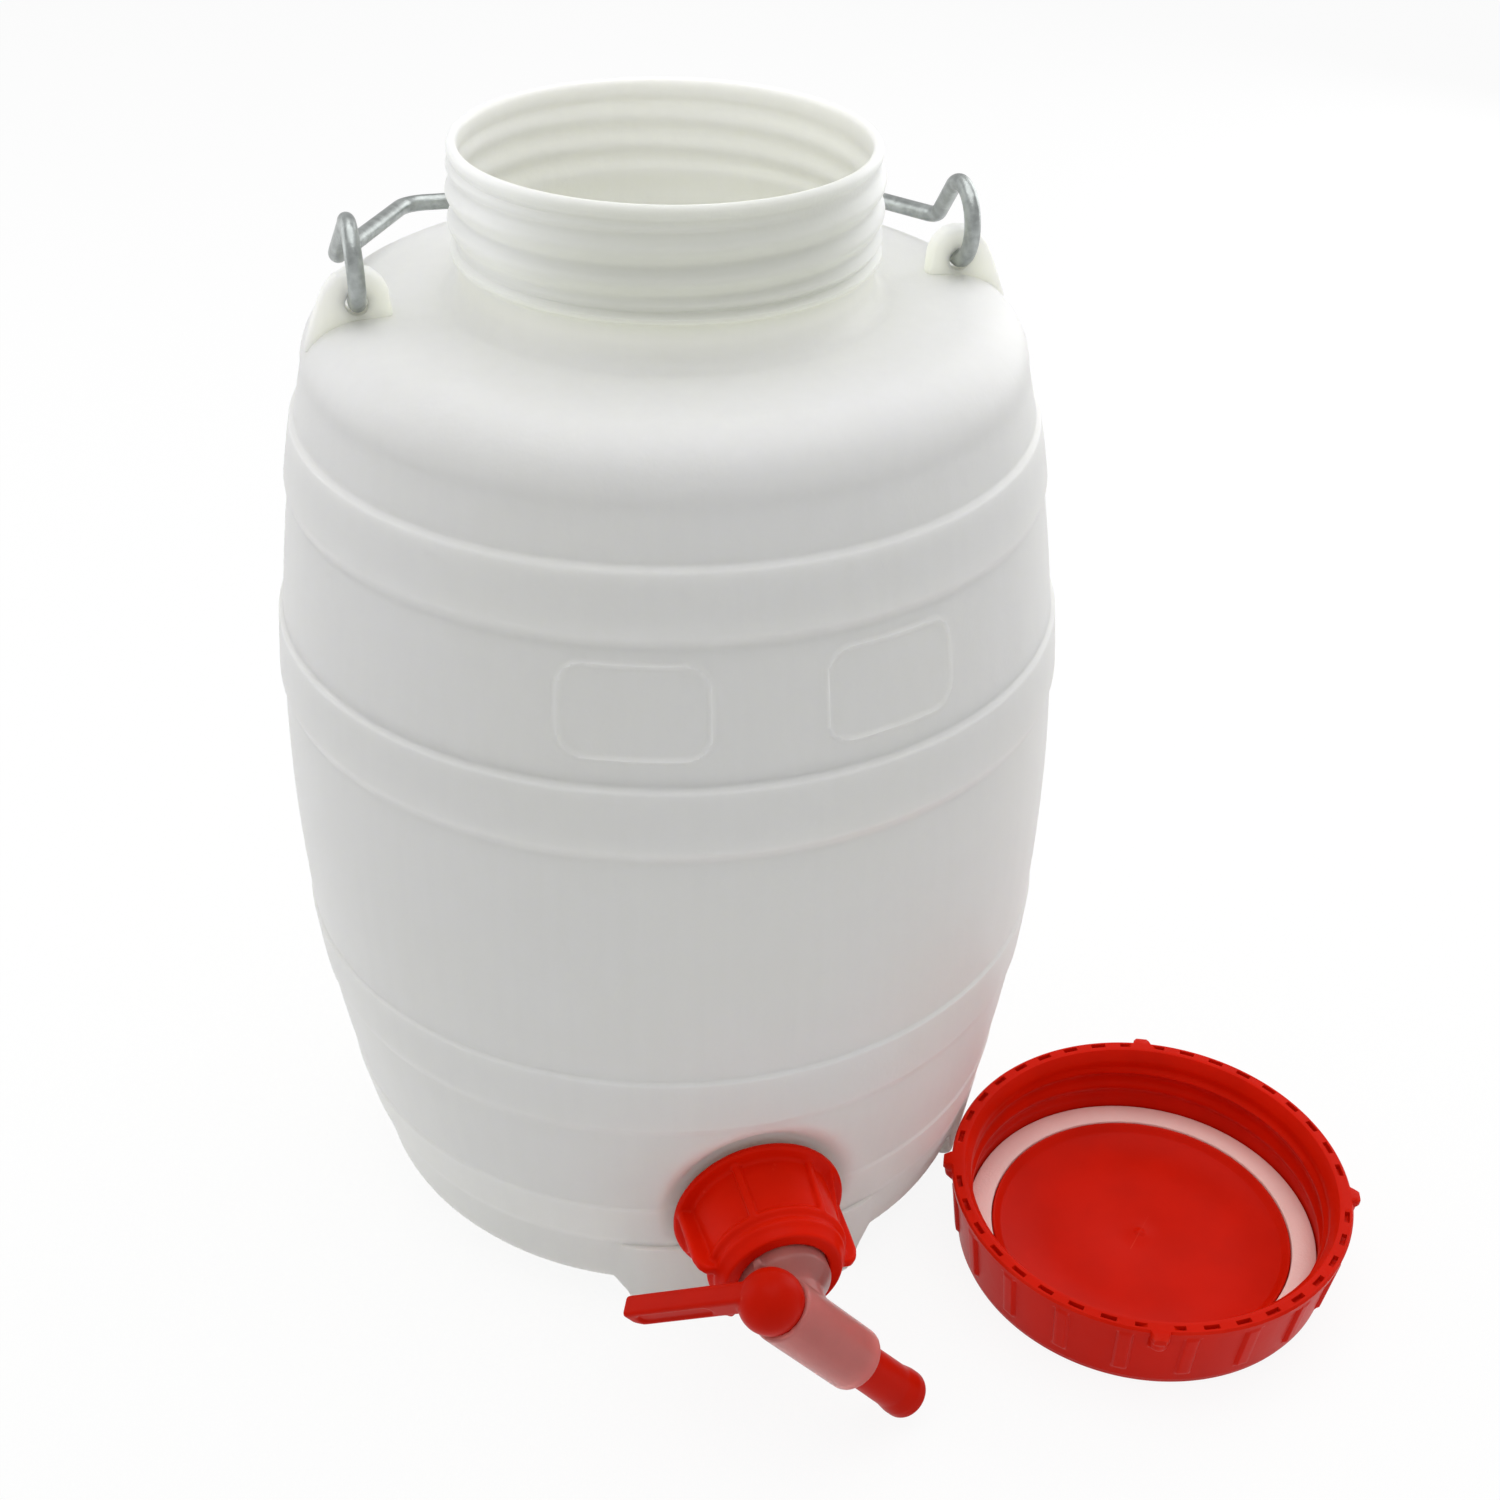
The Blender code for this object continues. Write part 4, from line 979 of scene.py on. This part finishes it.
def build_barrel(settings):
    angles = even_angles(settings.columns)
    rings = [[(0.0, 0.0, 0.0)]] + base_rings(angles, 0, 8)
    for height in wall_heights():
        rings.append(ring(wall_radius(angles, height, settings), height, angles))
    for radius, height in shoulder_points(0, 12)[1:] + neck_points():
        rings.append(ring(radius, height, angles))
    rings += neck_rings(angles)
    outer = sum(len(points) for points in rings)
    rings += inside_rings(angles, settings)
    rings.append([(0.0, 0.0, WALL)])
    shell = skin("barrel_shell", rings)
    refined_wall(shell, outer, settings)
    combine(shell, tap_boss())
    reach = BOSS_LENGTH + 3 * MM
    bore = bar("boss_bore", BOSS_BORE_RADIUS, -reach, reach, 72)
    combine(shell, moved(bore, on_tap_axis(SEAT_DISTANCE)), "DIFFERENCE")
    add_ears(shell)
    dressed(shell, milky_polyethylene(settings.colour))
    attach(shell, "barrel")
    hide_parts("barrel")


# Bail


def shoulder_height(radius):
    inner = belly_radius(CORNER_HEIGHT) - CORNER_WIDTH
    fillet = NECK_RADIUS + NECK_FILLET
    return SHOULDER_HEIGHT + SHOULDER_CROWN * max(0.0, (inner - radius) / (inner - fillet))


def rounded_corner(before, corner, after, radius, steps):
    """Points along an arc that rounds a corner of a path."""
    back = (before - corner).normalized()
    on = (after - corner).normalized()
    half = back.angle(on) / 2
    centre = corner + (back + on).normalized() * (radius / sin(half))
    start = corner + back * (radius * cos(half) / sin(half)) - centre
    end = corner + on * (radius * cos(half) / sin(half)) - centre
    return [centre + start.lerp(end, k / steps).normalized() * radius for k in range(steps + 1)]


def bail_path(side):
    """Half of the wire's centre line, from the hook's tip to the bar, about the hinge's axis."""
    reach = hypot(BAIL_CORNER_BACK, BAIL_CORNER_DROP)
    leave = acos(HOOK_RADIUS / reach) - atan2(BAIL_CORNER_DROP, BAIL_CORNER_BACK)
    points = []
    for angle in span(leave, HOOK_TIP_ANGLE, radians(6))[::-1]:
        points.append(Vector((side * EAR_PLACE, HOOK_RADIUS * cos(angle), HOOK_RADIUS * sin(angle))))
    bar_height = shoulder_height(BAIL_BAR_BACK) + 2.6 * MM - EAR_HOLE_HEIGHT - HOOK_RADIUS
    corner = Vector((side * BAIL_CORNER_PLACE, BAIL_CORNER_BACK, -BAIL_CORNER_DROP))
    bar = Vector((side * BAIL_BAR_HALF, BAIL_BAR_BACK, bar_height))
    middle = Vector((0, BAIL_BAR_BACK, bar_height))
    points += rounded_corner(points[-1], corner, bar, BAIL_BEND, 12)
    points += rounded_corner(corner, bar, middle, BAIL_BEND, 12)
    return points


def tube_rings(path, radius, columns):
    """Rings round a path, carried along it without twist, with a rounded end at each tip."""
    directions = []
    for k in range(len(path)):
        before = path[max(0, k - 1)]
        after = path[min(len(path) - 1, k + 1)]
        directions.append((after - before).normalized())
    side = directions[0].orthogonal().normalized()
    rings = []
    last = len(path) - 1
    for k, (point, along) in enumerate(zip(path, directions)):
        side = (side - along * side.dot(along)).normalized()
        over = along.cross(side)
        circle = [side * cos(a) + over * sin(a) for a in even_angles(columns)]
        if k in (0, last):
            rings += end_rings(point, along if k else -along, circle, radius, k == 0)
        else:
            rings.append([point + way * radius for way in circle])
    return rings


def end_rings(point, out, circle, radius, first):
    """The rounded end of a cut wire."""
    rings = [[point + way * radius for way in circle]]
    for share, push in ((0.93, 0.18), (0.78, 0.32), (0.5, 0.4)):
        rings.append([point + way * (radius * share) + out * (radius * push) for way in circle])
    rings.append([point + out * (radius * 0.42)])
    return rings[::-1] if first else rings


def build_bail(settings):
    path = bail_path(-1) + bail_path(1)[::-1]
    wire = skin("bail_wire", tube_rings(path, settings.wire_radius, 24))
    moved(wire, Matrix.Translation((0, 0, EAR_HOLE_HEIGHT + HOOK_RADIUS)))
    dressed(wire, zinc_wire(settings.colour), MOULDED_SHARP)
    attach(wire, "bail")
    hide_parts("bail")


# Lid and its seal


def lid_angles(ribs, pockets):
    """Angles round the lid, close together at the edges of its ribs, pockets and lugs."""
    marks = list(even_angles(240))
    lug_sides = (0.3, 0.6, 0.84, 0.96, 1.0)
    for count, first, degrees in (
        (ribs, 0.5, (0.6, 1.7, 2.4, 2.9)),
        (pockets, 0.5, (1.2, 2.05, 2.3)),
        (LUG_COUNT, 0.0, (0.0, *(share * LUG_HALF / radians(1.0) for share in lug_sides))),
    ):
        for k in range(count):
            centre = 2 * pi * (k + first) / count
            for away in degrees:
                marks += [centre - radians(away), centre + radians(away)]
    marks = sorted(mark % (2 * pi) for mark in marks)
    kept = [marks[0]]
    for mark in marks[1:]:
        if mark - kept[-1] > radians(0.16) and mark < 2 * pi - radians(0.16):
            kept.append(mark)
    return np.array(kept)


def repeated(angles, count, offset, half, soft):
    """1 on each of a number of even marks round a circle, with soft sides."""
    return smooth_step((half + soft / 2 - turn_from(angles, offset, 2 * pi / count)) / soft)


def lid_outside(angles, ribs):
    """Rings up the outside, from the middle of the top face to the rim's outer edge."""
    rib = repeated(angles, ribs, pi / ribs, radians(2.0), radians(1.0))
    away = turn_from(angles, 0, 2 * pi / LUG_COUNT)
    lug = np.sqrt(np.maximum(0, 1 - (away / LUG_HALF) ** 2))
    outline = [(0, 0), (20 * MM, 0), (LID_TOP_RADIUS - 2.6 * MM, 0)]
    for across, up in quarter(6)[::-1][1:]:
        outline.append((LID_TOP_RADIUS - 2.6 * MM * (1 - across), 2.6 * MM * (1 - up)))
    for height in span(3.0 * MM, LID_HEIGHT, 0.75 * MM):
        outline.append((None, height))
    rings = []
    for radius, height in outline:
        if radius == 0:
            rings.append([(0.0, 0.0, height)])
            continue
        if radius is None:
            radius = LID_TOP_RADIUS + (LID_RIM_RADIUS - LID_TOP_RADIUS) * height / LID_HEIGHT
            band = smooth_step((height - LID_BAND_START) / (0.8 * MM))
            share = smooth_step((height - LID_RIB_START) / (1.0 * MM)) * (1 - band)
            edge = 0.7 * MM * smooth_step((height - LID_HEIGHT + 0.7 * MM) / (0.75 * MM))
            lug_share = smooth_step((height - LUG_START) / (3.0 * MM))
            radius = radius + LID_RIB_PROUD * (band + rib * share * 1.25) - edge
            radius = radius + lug * LUG_PROUD * lug_share * (1 - 0.35 * smooth_step((height - 29 * MM) / MM))
            radius = np.minimum(radius, LID_RIM_RADIUS + LUG_PROUD)
        rings.append(ring(radius, height, angles))
    return rings


def lid_inside(angles, pockets):
    """Rings from the rim's edge, over its pockets, down the thread and over the sloping ring to the disc."""
    pocket = repeated(angles, pockets, pi / pockets, radians(2.1), radians(0.3))
    lug = repeated(angles, LUG_COUNT, 0, radians(4.5), radians(1.0))
    depth = 1.8 * MM * pocket * (1 - lug)
    rings = []
    for radius, share in ((64.0, 0), (63.75, 0), (63.55, 1), (62.9, 1), (62.3, 1), (62.1, 0), (61.4, 0)):
        rings.append(ring(radius * MM, LID_HEIGHT - depth * share, angles))
    rings.append(ring(LID_MOUTH_RADIUS + 0.25 * MM, LID_HEIGHT - 0.1 * MM, angles))
    rings.append(ring(LID_MOUTH_RADIUS - 0.1 * MM, LID_HEIGHT - 0.6 * MM, angles))
    rings.append(ring(LID_BORE_RADIUS + 0.3 * MM, LID_HEIGHT - 3.0 * MM, angles))
    for height in reversed(span(LID_THREAD_START - 1 * MM, LID_THREAD_END + 1.5 * MM, 0.9 * MM)):
        share = faded(height, LID_THREAD_START, LID_THREAD_END, THREAD_PITCH / 4)
        thread = share * ridge(height, angles, THREAD_PITCH, 0) ** 1.6
        rings.append(ring(LID_BORE_RADIUS - LID_THREAD_DEPTH * thread, height, angles))
    rings.append(ring(LID_BORE_RADIUS, LID_FLOOR + 1.0 * MM, angles))
    rings.append(ring(LID_BORE_RADIUS - 0.8 * MM, LID_FLOOR, angles))
    for out, up in ((4.6, 0), (3.6, 0.6), (3.4, 2.6), (3.0, 2.8), (2.2, 2.24), (1.0, 0.98)):
        rings.append(ring(LID_DISC_RADIUS + out * MM, LID_FLOOR + up * MM, angles))
    disc = LID_FLOOR + LID_DISC_RISE
    rings.append(ring(LID_DISC_RADIUS, disc, angles))
    for radius, up in ((30.0, 0), (9.0, 0), (8.2, -0.12), (2.4, -0.12), (1.6, 0.1), (1.0, 0.5)):
        rings.append(ring(radius * MM, disc + up * MM, angles))
    rings.append([(0.0, 0.0, disc + 0.6 * MM)])
    return rings


def on_floor(height):
    place = Matrix.Translation((*LID_PLACE, height - FOOT_DROP))
    return place @ Matrix.Rotation(LID_TURN, 4, "Z")


def seal_outline():
    """The seal's section, with rounded edges above."""
    inner = SEAL_INNER_RADIUS
    outer = LID_BORE_RADIUS - 0.4 * MM
    thick = SEAL_THICKNESS
    edge = SEAL_EDGE
    outline = [(inner, edge), (inner + edge, 0), (outer - edge, 0), (outer, edge), (outer, thick - edge)]
    outline += [(outer - edge * 0.3, thick - edge * 0.3), (outer - edge, thick), (inner + edge, thick)]
    return outline + [(inner + edge * 0.3, thick - edge * 0.3), (inner, thick - edge)]


def build_lid(settings):
    angles = lid_angles(settings.ribs, settings.pockets)
    rings = lid_outside(angles, settings.ribs) + lid_inside(angles, settings.pockets)
    lid = moved(skin("screw_lid", rings), on_floor(0))
    dressed(lid, red_moulding("red_lid", settings.colour))
    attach(lid, "lid")
    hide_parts("lid")
    seal = turned("lid_seal_ring", seal_outline(), 160, closed=True)
    moved(seal, on_floor(LID_FLOOR + 0.3 * MM))
    dressed(seal, soft_seal(settings.seal_colour))
    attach(seal, "lid")
    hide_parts("lid_seal")


# Tap nut, its rib and its wing as (radius, height) in millimetres

NUT_RIB = ((19.3, 1.2), (24.0, 1.2), (23.2, 4.0), (22.1, 19.8), (21.4, 22.2), (19.3, 22.2))
NUT_WING = ((19.3, 1.2), (25.9, 1.2), (25.6, 20.2), (24.6, 23.4), (22.6, 25.6), (19.3, 25.6))


def nut_outline():
    """The nut's section, as a closed loop. Its points are in millimetres until they are scaled."""
    inside = NUT_INSIDE / MM
    front = NUT_FRONT / MM
    points = [(NUT_GROOVE_RADIUS / MM, 0), (25.7, 0), (26.2, 0.35), (26.4, 1.2), (26.2, 2.0), (25.6, 2.4)]
    points += [(22.6, 2.6), (21.8, 3.2), (20.6, inside - 3.6), (20.7, inside - 3.0), (21.3, inside - 2.4)]
    points += [(21.3, inside - 1.5), (20.7, inside - 0.9), (19.9, inside - 0.5), (19.7, inside + 0.6)]
    points += [(20.0, inside + 1.3), (19.8, inside + 2.2), (18.9, inside + 3.4), (18.0, front - 0.5)]
    points += [(17.6, front), (NUT_HOLE_RADIUS / MM, front), (NUT_HOLE_RADIUS / MM, inside)]
    points.append((NUT_GROOVE_RADIUS / MM, inside))
    return [(radius * MM, height * MM) for radius, height in points]


def nut_fin(name, outline, thickness, rounding, angle):
    """A rib or wing of the nut, at an angle round it."""
    points = [(x * MM, z * MM) for x, z in outline]
    return moved(prism(name, points, thickness, rounding), Matrix.Rotation(angle, 4, "Z"))


def nut_web(angle):
    """The sloping web behind a wing, down to the flange."""
    far = angle + radians(40)
    corners = [(20.1, angle, 1.2), (25.2, angle, 1.2), (20.1, far, 1.2), (25.2, far, 1.2)]
    corners += [(20.1, far, 2.8), (25.2, far, 2.8), (21.0, angle, 24.0), (20.1, angle, 24.0)]
    builder = bmesh.new()
    for radius, turn, height in corners:
        builder.verts.new((radius * MM * cos(turn), radius * MM * sin(turn), height * MM))
    bmesh.ops.convex_hull(builder, input=builder.verts[:])
    mesh = bpy.data.meshes.new("nut_web")
    builder.to_mesh(mesh)
    builder.free()
    face_out(mesh)
    return new_object("nut_web", mesh)


def build_nut(settings, lid_settings):
    nut = turned("tap_nut_shell", nut_outline(), 128, closed=True)
    for angle in NUT_RIB_ANGLES:
        combine(nut, nut_fin("nut_rib", NUT_RIB, 2.5 * MM, 0.7 * MM, angle))
    for angle in NUT_WING_ANGLES:
        combine(nut, nut_fin("nut_wing", NUT_WING, 3.2 * MM, 1.0 * MM, angle))
        combine(nut, nut_web(angle))
    moulded(nut, settings.moulding_detail, 4)
    moved(nut, on_tap_axis(NUT_BACK))
    # Painted light: the nut's red is a lighter copy of the lid's red plastic.
    dressed(nut, red_moulding("red_nut_painted_light", shaded(lid_settings.colour, 1.12)), MOULDED_SHARP)
    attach(nut, "nut")
    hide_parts("tap_nut")
    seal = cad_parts["tap_seal"]
    seal.data.materials.clear()
    seal.data.materials.append(soft_seal(lid_settings.seal_colour))


# Tap body


def build_tap_body(settings):
    start = FLANGE_PLACE - CROSS_DISTANCE
    outline = [(0, start), (17.4 * MM, start), (17.8 * MM, start + 0.4 * MM)]
    outline += [(17.8 * MM, start + 2.4 * MM), (17.4 * MM, start + 2.8 * MM), (13.4 * MM, start + 2.8 * MM)]
    outline += [(13.4 * MM, start + 12.2 * MM), (12.9 * MM, start + 13.0 * MM)]
    outline += [(10.4 * MM, start + 15.8 * MM), (9.4 * MM, start + 17.4 * MM), (9.3 * MM, 0), (0, 0)]
    body = turned("tap_body_shell", outline, 96)
    key = ((11.6, -15.8), (15.2, -15.8), (15.1, -14.4), (14.4, -12.8), (11.6, -12.8))
    points = [(x * MM, z * MM) for x, z in key]
    tab = moved(prism("stub_key", points, 2.8 * MM, 0.6 * MM), Matrix.Rotation(radians(52) + SWIVEL, 4, "Z"))
    combine(body, tab)
    moved(body, ON_SIDE)
    edge = 0.7 * MM
    outline = ((0, -VALVE_DROP), (VALVE_RADIUS - edge, -VALVE_DROP), (VALVE_RADIUS, -VALVE_DROP + edge))
    outline += ((VALVE_RADIUS, VALVE_TOP - edge), (VALVE_RADIUS - edge, VALVE_TOP), (0, VALVE_TOP))
    combine(body, turned("valve_barrel", outline, 96))
    inlet = bar("inlet_bore", INLET_BORE_RADIUS, start - 2 * MM, 0)
    combine(body, moved(inlet, ON_SIDE), "DIFFERENCE")
    combine(body, bar("valve_bore", VALVE_BORE_RADIUS, -40 * MM, 20 * MM), "DIFFERENCE")
    moulded(body, settings.moulding_detail, 5)
    moved(body, at_cross())
    dressed(body, frosted_body(settings.body_colour), MOULDED_SHARP)
    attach(body, "tap")
    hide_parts("tap_body")


# Spindle


def spindle_outline():
    """From the dome's top down the plug to the nozzle's tip."""
    plug = VALVE_BORE_RADIUS - 0.3 * MM
    under = VALVE_TOP + 0.3 * MM
    low = acos((DOME_HEIGHT - under) / DOME_RADIUS)
    points = [(0, DOME_HEIGHT + DOME_RADIUS)]
    for k in range(1, 25):
        angle = (pi - low) * k / 24
        points.append((DOME_RADIUS * sin(angle), DOME_HEIGHT + DOME_RADIUS * cos(angle)))
    drop = -NOZZLE_DROP
    points += [(plug, under), (plug, -VALVE_DROP + 2.4 * MM), (NOZZLE_RADIUS, -VALVE_DROP)]
    points += [(NOZZLE_RADIUS + 0.2 * MM, drop + 9.0 * MM), (NOZZLE_TIP_RADIUS, drop + 4.5 * MM)]
    points += [(NOZZLE_TIP_RADIUS, drop + 1.4 * MM), (7.1 * MM, drop + 0.5 * MM), (6.4 * MM, drop), (0, drop)]
    return points


def lever_prism():
    """The lever's flat bar, with its tip cut off underneath."""
    low = LEVER_TOP - LEVER_HEIGHT
    outline = [(LEVER_ROOT, low), (LEVER_REACH - LEVER_TIP_CUT, low), (LEVER_REACH, low + LEVER_TIP_CUT)]
    outline += [(LEVER_REACH, LEVER_TOP), (LEVER_ROOT, LEVER_TOP)]
    return prism("lever", outline, LEVER_WIDTH, 1.1 * MM)


def lever_recess():
    """The long shallow recess in the lever's side, with round ends."""
    middle = LEVER_TOP - LEVER_HEIGHT / 2
    outline = []
    for centre, turn in zip(LEVER_RECESS_CENTRES, (-pi / 2, pi / 2)):
        for k in range(9):
            angle = turn + pi * k / 8
            across = LEVER_RECESS_RADIUS * cos(angle)
            outline.append((centre + across, middle + LEVER_RECESS_RADIUS * sin(angle)))
    recess = prism("lever_recess", outline, 2 * LEVER_RECESS_DEPTH)
    return moved(recess, Matrix.Translation((0, LEVER_WIDTH / 2, 0)))


def lever_nub():
    angles = span(0, pi, pi / 8)
    outline = [(NUB_RADIUS * sin(a) if 0 < k < 8 else 0, NUB_RADIUS * cos(a)) for k, a in enumerate(angles)]
    place = (NUB_PLACE, LEVER_WIDTH / 2 - NUB_RADIUS, LEVER_TOP - LEVER_HEIGHT)
    return moved(turned("lever_nub", outline, 20), Matrix.Translation(place))


def build_spindle(settings, lid_settings):
    spindle = turned("tap_handle", spindle_outline(), 96)
    combine(spindle, lever_prism())
    combine(spindle, lever_recess(), "DIFFERENCE")
    combine(spindle, lever_nub())
    nozzle = bar("nozzle_bore", NOZZLE_BORE_RADIUS, -NOZZLE_DROP - 2 * MM, 4 * MM)
    combine(spindle, nozzle, "DIFFERENCE")
    moulded(spindle, settings.moulding_detail, 4)
    moved(spindle, at_cross() @ Matrix.Rotation(LEVER_ANGLE, 4, "Z"))
    # Painted shade: the spindle's red is a darker copy of the lid's red plastic.
    dressed(spindle, red_moulding("red_spindle_painted_shade", shaded(lid_settings.colour, 0.84)), MOULDED_SHARP)
    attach(spindle, "spindle")
    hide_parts("tap_spindle")


# Stage


def seen(nodes):
    """1 for what the camera sees, also in gloss or through something clear."""
    kinds = ("Camera", "Glossy", "Transmission")
    rays = [nodes.node("ShaderNodeLightPath", output=f"Is {kind} Ray") for kind in kinds]
    return rays[0].maths("MAXIMUM", rays[0].maths("MAXIMUM", rays[0], rays[1]), rays[2])


def build_floor(settings):
    finish = Finish("pale_floor")
    finish.constants(Base_Color=settings.floor_colour, Roughness=0.9, Specular_IOR_Level=0.1)
    finish.bumped(finish.noise(finish.place(), 400.0, 2.0), 0.00005)
    glow = finish.node("ShaderNodeEmission", inputs={"Color": WHITE, "Strength": 1.0})
    shader = Channel(finish, finish.shader.outputs[0])
    mix = finish.node("ShaderNodeMixShader", inputs={0: seen(finish) * FLOOR_GLOW, 1: shader, 2: glow})
    finish.feed(finish.tree.nodes["Material Output"].inputs["Surface"], mix)
    signs = ((-1, -1), (1, -1), (1, 1), (-1, 1))
    mesh = bpy.data.meshes.new("floor")
    mesh.from_pydata([(x * FLOOR_REACH, y * FLOOR_REACH, -FOOT_DROP) for x, y in signs], [], [(0, 1, 2, 3)])
    floor = new_object("floor", mesh)
    floor.data.materials.append(finish.material)


def build_sky(settings):
    world = bpy.data.worlds.new("soft_sky")
    bpy.context.scene.world = world
    world.use_nodes = True
    nodes = Nodes(world.node_tree)
    light = nodes.tree.nodes["Background"]
    nodes.feed(light.inputs["Color"], WHITE)
    nodes.feed(light.inputs["Strength"], settings.sky)
    white = nodes.node("ShaderNodeBackground", inputs={"Color": WHITE, "Strength": 1.0})
    camera = nodes.node("ShaderNodeLightPath", output="Is Camera Ray")
    mix = nodes.node("ShaderNodeMixShader", inputs={0: camera, 1: Channel(nodes, light.outputs[0]), 2: white})
    nodes.feed(nodes.tree.nodes["World Output"].inputs["Surface"], mix)


def soft_lamp(name, place, size, power):
    data = bpy.data.lights.new(name, "AREA")
    data.shape = "SQUARE"
    data.size = size
    data.energy = power
    lamp = new_object(name, data)
    lamp.location = place
    lamp.rotation_euler = (Vector(LAMP_AIM) - Vector(place)).to_track_quat("-Z", "Y").to_euler()


def build_camera(settings):
    forward = Vector((sin(HEADING) * cos(PITCH_DOWN), cos(HEADING) * cos(PITCH_DOWN), -sin(PITCH_DOWN)))
    level = Vector((cos(HEADING), -sin(HEADING), 0))
    up = level.cross(forward)
    right = level * cos(ROLL) + up * sin(ROLL)
    above = up * cos(ROLL) - level * sin(ROLL)
    data = bpy.data.cameras.new("camera")
    data.lens = settings.lens
    data.sensor_width = 36.0
    data.sensor_fit = "HORIZONTAL"
    data.shift_x, data.shift_y = SHIFT
    data.clip_start = 0.01
    camera = new_object("camera", data)
    camera.matrix_world = Matrix.Translation(EYE) @ Matrix((right, above, -forward)).transposed().to_4x4()
    bpy.context.scene.camera = camera


def build_stage(settings):
    build_floor(settings)
    build_sky(settings)
    for name, place, size, share in LAMPS:
        soft_lamp(name, place, size, settings.lamp * share)
    build_camera(settings)
    bpy.context.scene.view_settings.view_transform = "Standard"


# Operators


class BARREL_OT_shell(bpy.types.Operator):
    """Builds the barrel with its neck, ears, feet and tap boss"""

    bl_idname = "barrel.shell"
    bl_label = "Build barrel"

    def execute(self, context):
        build_barrel(context.scene.spigot_barrel.barrel)
        return {"FINISHED"}


class BARREL_OT_bail(bpy.types.Operator):
    """Builds the wire bail"""

    bl_idname = "barrel.bail"
    bl_label = "Build bail"

    def execute(self, context):
        build_bail(context.scene.spigot_barrel.bail)
        return {"FINISHED"}


class BARREL_OT_lid(bpy.types.Operator):
    """Builds the screw lid and its seal"""

    bl_idname = "barrel.lid"
    bl_label = "Build lid"

    def execute(self, context):
        build_lid(context.scene.spigot_barrel.lid)
        return {"FINISHED"}


class BARREL_OT_tap(bpy.types.Operator):
    """Builds the tap: nut, body and spindle"""

    bl_idname = "barrel.tap"
    bl_label = "Build tap"

    def execute(self, context):
        settings = context.scene.spigot_barrel
        build_nut(settings.tap, settings.lid)
        build_tap_body(settings.tap)
        build_spindle(settings.tap, settings.lid)
        return {"FINISHED"}


class BARREL_OT_stage(bpy.types.Operator):
    """Builds the floor, the light and the camera"""

    bl_idname = "barrel.stage"
    bl_label = "Build stage"

    def execute(self, context):
        build_stage(context.scene.spigot_barrel.stage)
        return {"FINISHED"}


class BARREL_PT_panel(bpy.types.Panel):
    """Lists the settings and the steps."""

    bl_label = "Spigot barrel"
    bl_idname = "BARREL_PT_panel"
    bl_space_type = "VIEW_3D"
    bl_region_type = "UI"
    bl_category = "Barrel"

    def draw(self, context):
        settings = context.scene.spigot_barrel
        for group, operator in (
            (settings.barrel, "barrel.shell"),
            (settings.bail, "barrel.bail"),
            (settings.lid, "barrel.lid"),
            (settings.tap, "barrel.tap"),
            (settings.stage, "barrel.stage"),
        ):
            box = self.layout.box()
            for name in group.__annotations__:
                box.prop(group, name)
            box.operator(operator)


SETTINGS = (BarrelSettings, BailSettings, LidSettings, TapSettings, StageSettings, BarrelScene)
STEPS = (BARREL_OT_shell, BARREL_OT_bail, BARREL_OT_lid, BARREL_OT_tap, BARREL_OT_stage)
CLASSES = (*SETTINGS, *STEPS, BARREL_PT_panel)


def register():
    for cls in CLASSES:
        bpy.utils.register_class(cls)
    bpy.types.Scene.spigot_barrel = PointerProperty(type=BarrelScene)


def unregister():
    del bpy.types.Scene.spigot_barrel
    for cls in reversed(CLASSES):
        bpy.utils.unregister_class(cls)


def main():
    register()
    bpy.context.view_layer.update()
    bpy.ops.barrel.shell()
    bpy.ops.barrel.bail()
    bpy.ops.barrel.lid()
    bpy.ops.barrel.tap()
    bpy.ops.barrel.stage()


if __name__ == "__main__":
    main()
